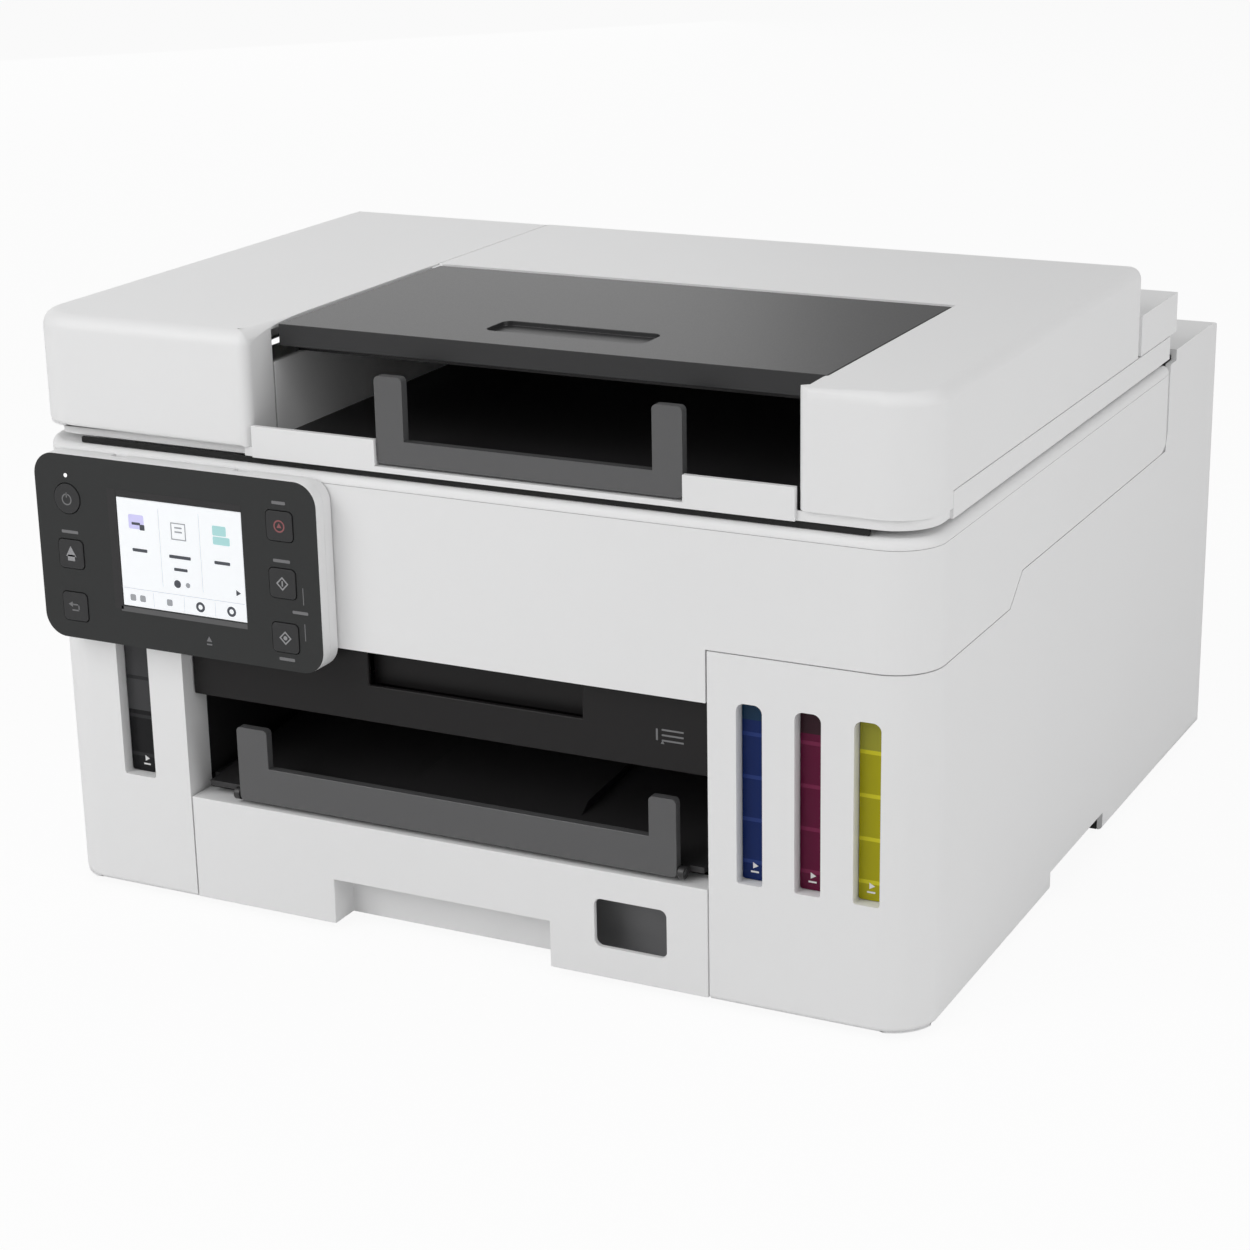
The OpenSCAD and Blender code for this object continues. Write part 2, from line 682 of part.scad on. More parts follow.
// Output tray: a sloping deck on two flanges that run on the bay's ledges
module output_tray() {
  y0 = front_y + 7.4;
  y1 = front_y + 124;
  z0 = cassette_top + 3.2;
  color("dimgray") difference() {
    union() {
      along_x(bay_l + 5, bay_r - 5)
        polygon([[y0, z0], [y0 + 3, z0], [y1, z0 + 12], [y1, z0 + 14.5], [y0 + 3, z0 + 2.5],
          [y0, z0 + 2.5]]);
      block([out_x0, y0 + 10, z0], [bay_l + 7, y1, z0 + 2]);
      block([bay_r - 7, y0 + 10, z0], [out_x1, y1, z0 + 2]);
      for (x = [bay_l + 5, bay_r - 7]) along_x(x, x + 2) polygon([[y0 + 3, z0], [y1, z0], [y1, z0 + 13],
        [y0 + 3, z0 + 1]]);
      for (x = [sup_x0 - 3, sup_x1 + 0.4]) {
        along_x(x, x + 2.6) union() {
          translate([sup_y, sup_z]) circle(2.6);
          translate([sup_y, sup_z - 1.3]) square([8, 3]);
        }
      }
      // Raised tongue of the sheet rest
      along_x(-38, 40) polygon([[y0 + 22, z0 + 3.5], [y0 + 30, z0 + 9], [y1 - 8, z0 + 15.5],
        [y1 - 8, z0 + 12]]);
    }
    for (x = [sup_x0 - 4, sup_x1]) rod_x(x, x + 4, sup_y, sup_z, 1.2 + fit);
  }
}

// Output support: a U-shaped frame that folds forward off the tray
module output_support() {
  y0 = sup_y - 2;
  y1 = sup_y + 2;
  color("dimgray") {
    for (x = [[sup_x0, sup_x0 + 15], [sup_x1 - 12, sup_x1]])
      fblock([x[0], y0, sup_z - 2], [x[1], y1, 84.5], 2);
    block([sup_x0 + 8, y0, sup_z - 2], [sup_x1 - 6, y1, 67.5]);
    rod_x(sup_x0 - 2.8, sup_x0 + 1, sup_y, sup_z, 1.2);
    rod_x(sup_x1 - 1, sup_x1 + 2.8, sup_y, sup_z, 1.2);
  }
}

// A spur gear in the plane across X, with straight-sided teeth
module gear(teeth, x0, x1, y, z, turn) {
  p = 360 / teeth;
  rp = gear_m * teeth / 2;
  pts = [for (i = [0 : teeth - 1], k = [[-0.30, -1.2], [-0.13, 0.9], [0.13, 0.9], [0.30, -1.2]])
    [(rp + k[1] * gear_m) * cos(i * p + k[0] * p + turn),
      (rp + k[1] * gear_m) * sin(i * p + k[0] * p + turn)]];
  along_x(x0, x1) translate([y, z]) polygon(pts);
}

gear_x0 = bay_l - 12;
gear_x1 = bay_l - 7;
module feed_roller() {
  color("gray") {
    rod_x(bay_l - 13, bay_r + 8, feed_y, shaft_z, shaft_r);
    rod_x(bay_l - 2, bay_r + 2, feed_y, shaft_z, feed_r);
    gear(feed_teeth, gear_x0, gear_x1, feed_y, shaft_z, 180);
  }
}
module eject_roller() {
  color("gray") {
    rod_x(bay_l - 13, bay_r + 8, eject_y, shaft_z, shaft_r);
    for (i = [0 : 5]) rod_x(bay_l + 14 + i * 38, bay_l + 26 + i * 38, eject_y, shaft_z, feed_r - 1);
    gear(eject_teeth, gear_x0, gear_x1, eject_y, shaft_z, 180 / eject_teeth);
  }
}
module pickup_roller() {
  color("dimgray") {
    rod_x(bay_l - 10, bay_r + 8, pickup_y, pickup_z, shaft_r);
    for (x = [bay_mid - 24, bay_mid + 8]) rod_x(x, x + 16, pickup_y, pickup_z, 15);
  }
}

carr_w = 56;
module print_carriage() {
  x0 = head_x;
  x1 = head_x + carr_w;
  color("black") {
    block([x0, -46, 84.4], [x1, -8, 92]);
    block([x0, -46, 91], [x1, rail_y - 6, 126]);
    block([x0, rail_y - 7, 100], [x1, rail_y - 1.8, rail_z + 14]);
    block([x0, rail_y - 7, rail_z + 10.3], [x1, rail_y + 5, rail_z + 14]);
    block([x0, rail_y + 0.3, rail_z + 2], [x1, rail_y + 5, rail_z + 14]);
    block([x0 + 22, rail_y + 4, rail_z + 11], [x0 + 34, belt_y - 5.3, rail_z + 14]);
    block([x0 + 22, belt_y - 8, rail_z + 2], [x0 + 34, belt_y - 5.3, rail_z + 14]);
  }
}
module print_heads() {
  color("silver") for (dx = [5, 32]) {
    block([head_x + dx, -40, 82.4], [head_x + dx + 19, -12, 84.4]);
  }
}

// Maintenance cartridge, pulled out at the rear
module maintenance_cartridge() {
  color("dimgray") difference() {
    block([cart_x0, back_y - cart_l, cart_z0], [cart_x1, back_y - 0.3, cart_z1]);
    fblock([cart_x0 + 9, back_y - 12, cart_z0 + 14], [cart_x1 - 9, back_y + 1, cart_z1 - 10], 5);
  }
}

module rear_tray_cover() {
  yh = flap_y1 - 2;
  zh = rear_top - 2;
  color("gainsboro") {
    block([-flap_x + 0.5, flap_y0 - 1.5, rear_top - wall], [flap_x - 0.5, yh, rear_top]);
    block([-flap_x + 6, flap_y0 - 1.5, rear_top - 5], [flap_x - 6, flap_y0 + 1, rear_top - 1]);
    rod_x(-flap_x + 0.5, flap_x - 0.5, yh, zh, 2);
    rod_x(-flap_x - 2, flap_x + 2, yh, zh, 1.2);
  }
}

post_x = 100;
lug_x = 150;
scan_rod_z = scan_floor + 8;
plate_t = 2.5;

// Scanner housing: outer walls, floor, front apron, slide rod, lid hinge posts and rear arms
module scanner_housing() {
  top = scan_top - 4.2;
  color("gainsboro") difference() {
    union() {
      intersection() {
        linear_extrude(top) difference() {
          body_plan(0, scan_back, 2.6);
          body_plan(wall, scan_back, 2.6);
        }
        along_x(-hw - 1, hw + 1) scan_side(0);
      }
      block([bay_l + seam, front_y, scan_apron], [bay_r - seam, front_y + wall, tower_top + 2]);
      for (x = [bay_l + seam, bay_r - seam - wall]) block([x, front_y, scan_apron],
        [x + wall, front_y + 6, tower_top + 2]);
      translate([0, 0, scan_floor]) linear_extrude(plate_t) body_plan(wall - 0.5, scan_back, 2.6);
      rod_x(-hw + 1, hw - 1, -10, scan_rod_z, 2.5);
      // Posts and pins of the lid hinge
      for (s = [-1, 1]) {
        along_x(s * post_x - 8, s * post_x + 8) union() {
          translate([lid_pin_y, lid_pin_z]) circle(5.5);
          translate([lid_pin_y - 5.5, scan_floor + 1])
            square([scan_back - lid_pin_y + 5.5, scan_top - scan_floor - 1]);
          translate([lid_pin_y - 5.5, scan_top - 2]) square([11, lid_pin_z - scan_top + 2]);
        }
        rod_x(s * post_x - 14, s * post_x + 14, lid_pin_y, lid_pin_z, 2.5);
        // Arms of the scanner hinge
        along_x(s * lug_x - 5.6, s * lug_x + 5.6) union() {
          translate([scan_pin_y, scan_pin_z]) circle(4.5);
          translate([scan_back - 8.5, scan_top - 6]) square([8.5, 10.5]);
          translate([scan_back - 3, scan_pin_z - 4.5]) square([7, 5]);
        }
      }
    }
    for (s = [-1, 1]) {
      rod_x(s * lug_x - 7, s * lug_x + 7, scan_pin_y, scan_pin_z, 2 + fit);
      // Screw holes behind the panel
      rod_y(panel_mid + s * 30, front_y - 1, front_y + wall + 1, panel_top - 40, 1.6);
    }
    for (s = [-1, 1], dx = [-8, 8]) block([s * lug_x + dx - 2, scan_back - 0.6, scan_top - 10],
      [s * lug_x + dx + 2, scan_back + 1, scan_top]);
  }
  // Ears and pins of the panel hinge
  color("gainsboro") for (s = [-1, 1]) {
    x = panel_mid + s * 30;
    along_x(x - 3, x + 3) union() {
      translate([panel_pin_y, panel_pin_z]) circle(1.9);
      translate([panel_pin_y - 1.9, panel_pin_z - 5]) square([front_y - panel_pin_y + 1.7, 5]);
      translate([panel_pin_y, panel_pin_z - 5]) square([front_y - panel_pin_y + 0.5, 2.4]);
    }
    rod_x(x - 8, x + 8, panel_pin_y, panel_pin_z, 1);
  }
}

glass_x = -171 + 0.5;
glass_y = -118;

// Bezel: the top of the scanner unit, with a rebate that carries the glass
module scan_bezel() {
  z0 = scan_top - 4;
  color("gainsboro") difference() {
    translate([0, 0, z0]) linear_extrude(4) body_plan(0, scan_back, 2.6);
    block([glass_x - run, glass_y - run, scan_top - glass_t - 0.1],
      [glass_x + glass_w + run, glass_y + glass_d + run, scan_top + 1]);
    block([glass_x + 4, glass_y + 4, z0 - 1], [glass_x + glass_w - 4, glass_y + glass_d - 4, scan_top]);
    for (s = [-1, 1]) {
      block([s * post_x - 8.4, lid_pin_y - 6, z0 - 1], [s * post_x + 8.4, scan_back + 1, scan_top + 1]);
      block([s * lug_x - 10, scan_back - 12.4, z0 - 1], [s * lug_x + 10, scan_back + 1, scan_top + 1]);
    }
  }
}

module scan_glass() {
  color("lightblue", 0.4)
    block([glass_x, glass_y, scan_top - glass_t], [glass_x + glass_w, glass_y + glass_d, scan_top - 0.1]);
}

module scan_carriage() {
  x0 = glass_x + 6;
  color("dimgray") difference() {
    union() {
      block([x0, glass_y + 6, scan_rod_z + 2], [x0 + 16, glass_y + glass_d - 6, scan_top - 5]);
      block([x0, -17, scan_rod_z - 4.4], [x0 + 16, -3, scan_rod_z + 3]);
    }
    rod_x(x0 - 1, x0 + 17, -10, scan_rod_z, 2.5 + fit);
    block([x0 + 3, glass_y + 8, scan_top - 7], [x0 + 13, glass_y + glass_d - 8, scan_top - 4]);
  }
}

skirt_z = lid_z0 + 11;
ear_back = scan_back - 2;
ear_in = 130;
left_edge = -hw + 12;
feeder_pin_x = -hw + 5.5;
feeder_pin_z = slot_floor + 5.5;
adf_x = slot_l - 28;
adf_z = slot_floor + 24;

// Lid base: floor plate, front lip, side and rear skirts, feeder wall and bearing blocks
module lid_base() {
  y_r = front_y + 26;
  color("gainsboro") difference() {
    union() {
      translate([0, 0, lid_z0]) linear_extrude(slot_floor - lid_z0) {
        intersection() {
          body_plan(1.5, hinge_back, 4);
          union() {
            translate([slot_l - 4, -300]) square([600, 600]);
            translate([left_edge, lid_back]) square([600, 600]);
          }
        }
        intersection() {
          body_plan(4, hinge_back, 4);
          translate([left_edge, -300]) square([slot_l - left_edge, 600]);
        }
      }
      block([slot_l + seam, front_y, lid_z0], [slot_r - seam, front_y + wall, slot_floor + 9]);
      block([slot_l + seam, front_y + 1, lid_z0], [slot_r - seam, front_y + 8, slot_floor]);
      block([hw - wall, y_r, lid_z0], [hw, ear_back, skirt_z - seam]);
      block([hw - wall - 3, y_r, lid_z0], [hw - 1, ear_back, slot_floor]);
      block([-hw, lid_back + seam, lid_z0], [-hw + wall, ear_back, skirt_z - seam]);
      block([-hw + 1, lid_back + seam, lid_z0], [-hw + 14, ear_back, slot_floor]);
      block([-hw, hinge_back - wall, lid_z0 + 1.5], [hw, hinge_back, skirt_z - seam]);
      block([slot_l - 2.8, tray_front + 1, slot_floor - 1], [slot_l - 0.3, lid_back - 6, shelf_z - 0.3]);
      for (y = [-104, -8]) block([adf_x - 7, y, slot_floor - 1], [adf_x + 7, y + 5, adf_z + 7]);
      for (y = [front_y + 30, lid_back - 40]) {
        block([feeder_pin_x + 6.5, y, slot_floor - 1], [feeder_pin_x + 10, y + 10, feeder_pin_z + 0.5]);
        block([feeder_pin_x, y, feeder_pin_z - 2.2], [feeder_pin_x + 8, y + 10, feeder_pin_z + 0.5]);
        rod_y(feeder_pin_x, y, y + 10, feeder_pin_z, 2.4);
        rod_y(feeder_pin_x, y - 5.5, y + 15.5, feeder_pin_z, 1.5);
      }
      // Ears of the document stop
      for (x = [stop_x0 - 3.8, stop_x1 + 0.4]) block([x, front_y, slot_floor - 1],
        [x + 3.4, stop_y + 4.5, stop_z + 3.5]);
      // Ears of the lid hinge
      for (s = [-1, 1], dx = [-12.6, 9.4]) along_x(s * post_x + dx, s * post_x + dx + 3.2) union() {
        translate([lid_pin_y, lid_pin_z]) circle(5.5);
        translate([lid_pin_y - 5.5, slot_floor - 1]) square([11, lid_pin_z - slot_floor + 1]);
      }
    }
    block([stop_x0 - 0.4, front_y - 1, stop_z - 4.2], [stop_x1 + 0.4, stop_y + 4.5, slot_floor + 20]);
    for (x = [-hw - 1, ear_in]) {
      block([x, ear_back, lid_z0 - 1], [x + hw + 1 - ear_in, hinge_back + 1, skirt_z + 5]);
    }
    for (x = [stop_x0 - 3.3, stop_x1]) rod_x(x, x + 3.3, stop_y, stop_z, 1.2 + fit);
    rod_y(adf_x, -110, 10, adf_z, shaft_r + fit);
    for (s = [-1, 1]) {
      rod_x(s * post_x - 16, s * post_x + 16, lid_pin_y, lid_pin_z, 2.5 + fit);
      block([s * post_x - 9, lid_pin_y - 6.5, lid_z0 - 1],
        [s * post_x + 9, hinge_back + 1, lid_pin_z + 12]);
      block([s * lug_x - 12, scan_back - 14, lid_z0 - 1], [s * lug_x + 12, hinge_back + 1, skirt_z + 5]);
    }
  }
}

module lid_pad() {
  color("white") block([glass_x - 3, glass_y - 3, scan_top + 0.2],
    [glass_x + glass_w + 3, glass_y + glass_d + 3, lid_z0 - 0.05]);
}

// Lid top: right and rear shell, and the lower hinge housing behind it
module lid_top_cover() {
  x0 = slot_l + seam;
  color("gainsboro") difference() {
    union() {
      difference() {
        union() {
          intersection() {
            translate([0, 0, skirt_z]) linear_extrude(total_h - skirt_z) body_plan(0, lid_back, 6);
            block([x0, -400, 0], [hw + 1, 400, 400]);
          }
          intersection() {
            translate([0, 0, slot_floor + run]) linear_extrude(12) body_plan(0, lid_back, 6);
            block([slot_r, -400, 0], [hw + 1, front_y + 26 - seam, 400]);
          }
        }
        intersection() {
          translate([0, 0, slot_floor - 1]) linear_extrude(total_h - wall - slot_floor + 1)
            body_plan(wall, lid_back, 4);
          union() {
            block([x0 - 1, front_y, 0], [slot_r, 400, 400]);
            block([slot_r + wall, front_y, 0], [hw + 1, 400, 400]);
            block([slot_r - 1, tray_rear + 8, 0], [slot_r + wall + 1, 400, 400]);
          }
        }
        // Document slot, tray opening and the tray's resting step
        block([x0 - 1, front_y - 1, 200], [slot_r, front_y + wall + 1, 300]);
        block([x0 - 1, front_y - 1, total_h - wall - 1], [slot_r, tray_rear + 0.9, 300]);
        block([slot_r - 1, tray_front - 0.6, total_h - 7.5], [slot_r + 4.6, tray_rear + 0.9, 300]);
      }
      // Hinge housing behind the raised part
      difference() {
        block([-hw, lid_back - 0.5, skirt_z], [hw, hinge_back, hinge_top]);
        block([-hw + wall, lid_back - 2, skirt_z - 1], [hw - wall, hinge_back - wall, hinge_top - wall]);
      }
      block([-hw, lid_back + seam, skirt_z], [slot_l + 1, lid_back + wall + seam, hinge_top]);
      // Ears of the tray cover
      block([x0, tray_rear - 6, total_h - 10], [slot_l + 2.6, tray_rear + 3, total_h - 0.5]);
      block([slot_r + 4.8, tray_rear - 6, total_h - 10], [slot_r + 8, tray_rear + 3, total_h - 1]);
    }
    rod_x(x0 - 1, slot_l + 3, tray_rear - 3.5, total_h - 3.5, 1.2 + fit);
    rod_x(slot_r + 4, slot_r + 9, tray_rear - 3.5, total_h - 3.5, 1.2 + fit);
    for (s = [-1, 1]) {
      block([s * post_x - 9, lid_pin_y - 6.5, lid_z0 - 1], [s * post_x + 9, hinge_back + 1, lid_pin_z + 3]);
    }
    block([-hw - 1, lid_back - 1, skirt_z - 1], [slot_l + seam, lid_back + seam, total_h]);
  }
}

// Feeder cover: a shell hinged at its left edge, with a short return wall beside the slot
module feeder_cover() {
  color("gainsboro") difference() {
    union() {
      difference() {
        intersection() {
          translate([0, 0, slot_floor]) linear_extrude(total_h - slot_floor) body_plan(0, lid_back, 6);
          block([-hw - 1, -400, 0], [slot_l, 400, 400]);
        }
        intersection() {
          translate([0, 0, slot_floor - 1]) linear_extrude(total_h - wall - slot_floor + 1)
            body_plan(wall, lid_back, 6);
          block([-hw - 1, -400, 0], [slot_l + 1, 400, 400]);
        }
      }
      block([slot_l - wall, front_y + 1, slot_floor], [slot_l, tray_front - 0.6, total_h - 1]);
      for (y = [front_y + 30, lid_back - 40], dy = [-5, 10.6]) translate([0, y + dy, 0]) {
        rod_y(feeder_pin_x, 0, 4.4, feeder_pin_z, 3);
        block([-hw + 1, 0, feeder_pin_z - 3], [feeder_pin_x, 4.4, feeder_pin_z + 3]);
      }
    }
    for (y = [front_y + 30, lid_back - 40]) rod_y(feeder_pin_x, y - 6, y + 16, feeder_pin_z, 1.5 + fit);
  }
}

// Tray cover: a plate with a deep front edge, a finger recess and a rolled rear edge on its pins
module tray_cover() {
  x0 = slot_l + 3.2;
  x1 = slot_r + 4;
  yh = tray_rear - 3.5;
  zh = total_h - 3.5;
  color("dimgray") difference() {
    union() {
      block([x0, tray_front, total_h - 4], [x1, yh, total_h]);
      block([x0, tray_front, total_h - 9], [slot_r - 0.6, tray_front + 3, total_h - 1]);
      rod_x(x0, x1, yh, zh, 3.5);
      rod_x(slot_l + 0.9, slot_r + 7.6, yh, zh, 1.2);
    }
    rblock([-4, tray_front + 21, total_h - 2], [66, tray_front + 40, total_h + 1], 4);
  }
}

// Document shelf between the tray cover and the output slot, with two low guide ribs
module document_shelf() {
  y0 = tray_front + 23;
  color("dimgray") {
    block([slot_l - 2.8, y0, shelf_z], [slot_r - 0.4, tray_rear + 60, shelf_z + 2.5]);
    for (y = [y0 + 8, tray_rear - 20]) block([slot_l + 14, y, shelf_z + 2.4],
      [slot_l + 80, y + 2, shelf_z + 8]);
  }
}

module adf_roller() {
  color("gray") {
    rod_y(adf_x, -108, 0, adf_z, shaft_r);
    for (y = [-82, -42]) rod_y(adf_x, y, y + 24, adf_z, 10);
  }
}

stop_x0 = -31.5;
stop_x1 = 101.5;
stop_y = front_y + 3.5;
stop_z = slot_floor + 2.5;

// Document stop: an upright U-shaped frame in the lip's notch, folding back onto the slot floor
module output_stop() {
  color("dimgray") {
    translate([0, stop_y, stop_z]) {
      for (x = [stop_x0, stop_x1 - 12.5]) fblock([x, -2, -3.2], [x + 12.5, 2, 32], 2);
      block([stop_x0 + 6, -2, -3.2], [stop_x1 - 6, 2, 6.5]);
    }
    rod_x(stop_x0 - 3, stop_x0 + 1, stop_y, stop_z, 1.2);
    rod_x(stop_x1 - 1, stop_x1 + 3, stop_y, stop_z, 1.2);
  }
}

panel_x0 = -hw + panel_left;
panel_x1 = panel_x0 + panel_w;
panel_mid = (panel_x0 + panel_x1) / 2;
panel_z0 = panel_top - panel_h;
panel_pin_y = front_y - 4;
panel_pin_z = panel_top - 2.6;
screen_x0 = panel_x0 + 41;
screen_z1 = panel_top - 15.5;
key_left = panel_x0 + 16;
key_right = panel_x1 - 17.5;
key_rows = [panel_top - 19, panel_top - 43, panel_top - 66];
power_r = 6.5;
plate_y = panel_y + 0.5;

// The opening for one key, with room all round
module key_hole(x, z, s) {
  fblock([x - s / 2 - run, plate_y - 1, z - s / 2 - run],
    [x + s / 2 + run, plate_y + 4, z + s / 2 + run], 2.3);
}

module panel_bezel() {
  color("dimgray") difference() {
    fblock([panel_x0, plate_y, panel_z0], [panel_x1, front_y - 6, panel_top], panel_r);
    fblock([panel_x0 + 2, plate_y + 2.5, panel_z0 + 2],
      [panel_x1 - 2, front_y, panel_top - 2], panel_r - 2);
    block([screen_x0 - 0.2, plate_y - 1, screen_z1 - screen_h - 0.2],
      [screen_x0 + screen_w + 0.2, plate_y + 3, screen_z1 + 0.2]);
    rod_y(key_left, plate_y - 1, plate_y + 4, key_rows[0], power_r + run);
    for (i = [1, 2]) key_hole(key_left, key_rows[i], button_s);
    for (i = [0 : 2]) key_hole(key_right, key_rows[i], button_s);
    rod_y(key_left, plate_y - 1, plate_y + 4, panel_top - 9, 1);
  }
}

// White rear shell of the panel, with bosses that turn on the hinge pins
module panel_back() {
  y0 = front_y - 5.95;
  y1 = front_y - 0.5;
  color("gainsboro") difference() {
    union() {
      difference() {
        fblock([panel_x0, y0, panel_z0], [panel_x1, y1, panel_top], panel_r);
        fblock([panel_x0 + 2, y0 - 1, panel_z0 + 2], [panel_x1 - 2, y1 - 1.8, panel_top - 9], panel_r - 2);
        for (s = [-1, 1]) {
          x = panel_mid + s * 30;
          block([x - 3.4, y0 - 1, panel_pin_z - 9], [x + 3.4, y1 + 1, panel_top + 1]);
        }
        along_x(panel_x0 - 1, panel_x1 + 1)
          polygon([[y1 + 1, panel_top - 3.4], [y1 + 1, panel_top + 1], [y1 - 3.4, panel_top + 1]]);
      }
    }
    for (s = [-1, 1]) rod_x(panel_mid + s * 30 - 9,
      panel_mid + s * 30 + 9, panel_pin_y, panel_pin_z, 1 + fit);
  }
}

module touch_screen() {
  color("white") block([screen_x0, plate_y + 0.1, screen_z1 - screen_h],
    [screen_x0 + screen_w, plate_y + 2.4, screen_z1]);
  color("black") block([screen_x0 - 3, plate_y + 2.6 - 0.05, screen_z1 - screen_h - 3],
    [screen_x0 + screen_w + 3, plate_y + 4.6, screen_z1 + 3]);
  color("black") block([screen_x0 + 4, plate_y + 2.3, screen_z1 - screen_h + 4],
    [screen_x0 + screen_w - 4, plate_y + 2.7, screen_z1 - 4]);
}

// A square key: cap through the bezel, flange behind it
module square_key(x, z) {
  s = button_s;
  color("dimgray") {
    fblock([x - s / 2, panel_y, z - s / 2], [x + s / 2, plate_y + 3.5, z + s / 2], 2);
    fblock([x - s / 2 - 1.2, plate_y + 2.7, z - s / 2 - 1.2],
      [x + s / 2 + 1.2, plate_y + 3.7, z + s / 2 + 1.2], 2.4);
  }
}
module power_button() {
  color("dimgray") {
    rod_y(key_left, panel_y, plate_y + 3.5, key_rows[0], power_r);
    rod_y(key_left, plate_y + 2.7, plate_y + 3.7, key_rows[0], power_r + 1.2);
  }
}
module home_button() { square_key(key_left, key_rows[1]); }
module back_button() { square_key(key_left, key_rows[2]); }
module stop_button() { square_key(key_right, key_rows[0]); }
module black_start_button() { square_key(key_right, key_rows[1]); }
module color_start_button() { square_key(key_right, key_rows[2]); }

base_chassis();
left_cover();
right_cover();
rear_cover();
front_fascia();
metal_frame();
carriage_rail();
platen();
purge_unit();
power_supply();
main_board();
drive_motors();
timing_belt();
ink_tank_black();
ink_tank_cyan();
ink_tank_magenta();
ink_tank_yellow();
ink_tubes();
rubber_feet();
cover_screws();
power_inlet();
port_block();
tank_cap_black();
tank_cap_cyan();
tank_cap_magenta();
tank_cap_yellow();
maintenance_cartridge();
rear_tray_cover();
cassette_tray();
cassette_front();
cassette_guide_left();
cassette_guide_right();
output_tray();
output_support();
feed_roller();
eject_roller();
pickup_roller();
print_carriage();
print_heads();
scanner_housing();
scan_bezel();
scan_glass();
scan_carriage();
lid_base();
lid_pad();
lid_top_cover();
feeder_cover();
tray_cover();
document_shelf();
adf_roller();
output_stop();
panel_bezel();
panel_back();
touch_screen();
power_button();
home_button();
back_button();
stop_button();
black_start_button();
color_start_button();
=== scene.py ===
"""A flatbed inkjet printer with a document feeder, dressed for the studio.

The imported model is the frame. Each sub-assembly is a class that softens its
moulded shells, models its small details and gives every piece its finish.
All lengths in the sub-assembly classes are millimetres; meshes are metres.
"""

import json
import logging
import math
from collections.abc import Callable, Iterable
from dataclasses import dataclass, field
from enum import Enum
from functools import cache

import bmesh
import bpy
from mathutils import Matrix, Vector

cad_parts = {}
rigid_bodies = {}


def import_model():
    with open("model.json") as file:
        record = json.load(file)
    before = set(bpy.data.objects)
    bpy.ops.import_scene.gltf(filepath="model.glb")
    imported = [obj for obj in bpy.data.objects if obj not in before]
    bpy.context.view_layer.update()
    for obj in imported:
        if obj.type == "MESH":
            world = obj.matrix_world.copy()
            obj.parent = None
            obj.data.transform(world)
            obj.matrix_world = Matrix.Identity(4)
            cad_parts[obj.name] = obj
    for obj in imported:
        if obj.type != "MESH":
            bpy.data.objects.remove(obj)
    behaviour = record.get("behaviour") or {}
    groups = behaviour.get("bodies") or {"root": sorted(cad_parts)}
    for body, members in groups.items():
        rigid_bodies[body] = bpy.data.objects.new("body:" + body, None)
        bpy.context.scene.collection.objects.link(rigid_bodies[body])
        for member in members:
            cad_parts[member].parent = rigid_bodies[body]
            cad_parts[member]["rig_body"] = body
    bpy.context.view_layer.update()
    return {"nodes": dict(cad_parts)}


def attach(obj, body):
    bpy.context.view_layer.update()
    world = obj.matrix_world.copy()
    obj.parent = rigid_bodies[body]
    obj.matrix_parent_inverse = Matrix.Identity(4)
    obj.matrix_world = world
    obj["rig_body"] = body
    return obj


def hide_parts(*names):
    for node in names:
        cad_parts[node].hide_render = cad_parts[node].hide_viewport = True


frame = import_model()

log = logging.getLogger("printer")
Point = tuple[float, float, float]
Colour = tuple[float, float, float]
EdgeTest = Callable[[Vector, Vector], bool]
FaceTest = Callable[[Vector, Vector], bool]
MM = 0.001
WELD = 0.000004
FLAT_ANGLE = math.radians(0.4)
HARD_ANGLE = math.radians(28)
SMOOTH_ANGLE = math.radians(32)
BEVEL_ANGLE = math.radians(35)
FAR = 1000.0
ON_PLANE = 0.1
ON_LEVEL = 0.06
PURE_WHITE = (1.0, 1.0, 1.0, 1.0)


def metres(point: Iterable[float]) -> Vector:
    """Turns a point in millimetres into a vector in metres.

    Args:
        point: the three coordinates in millimetres.

    Returns:
        The same place in metres.
    """
    return Vector([value * MM for value in point])


class Axis(Enum):
    """A direction of the shared frame, by its index."""

    X = 0
    Y = 1
    Z = 2


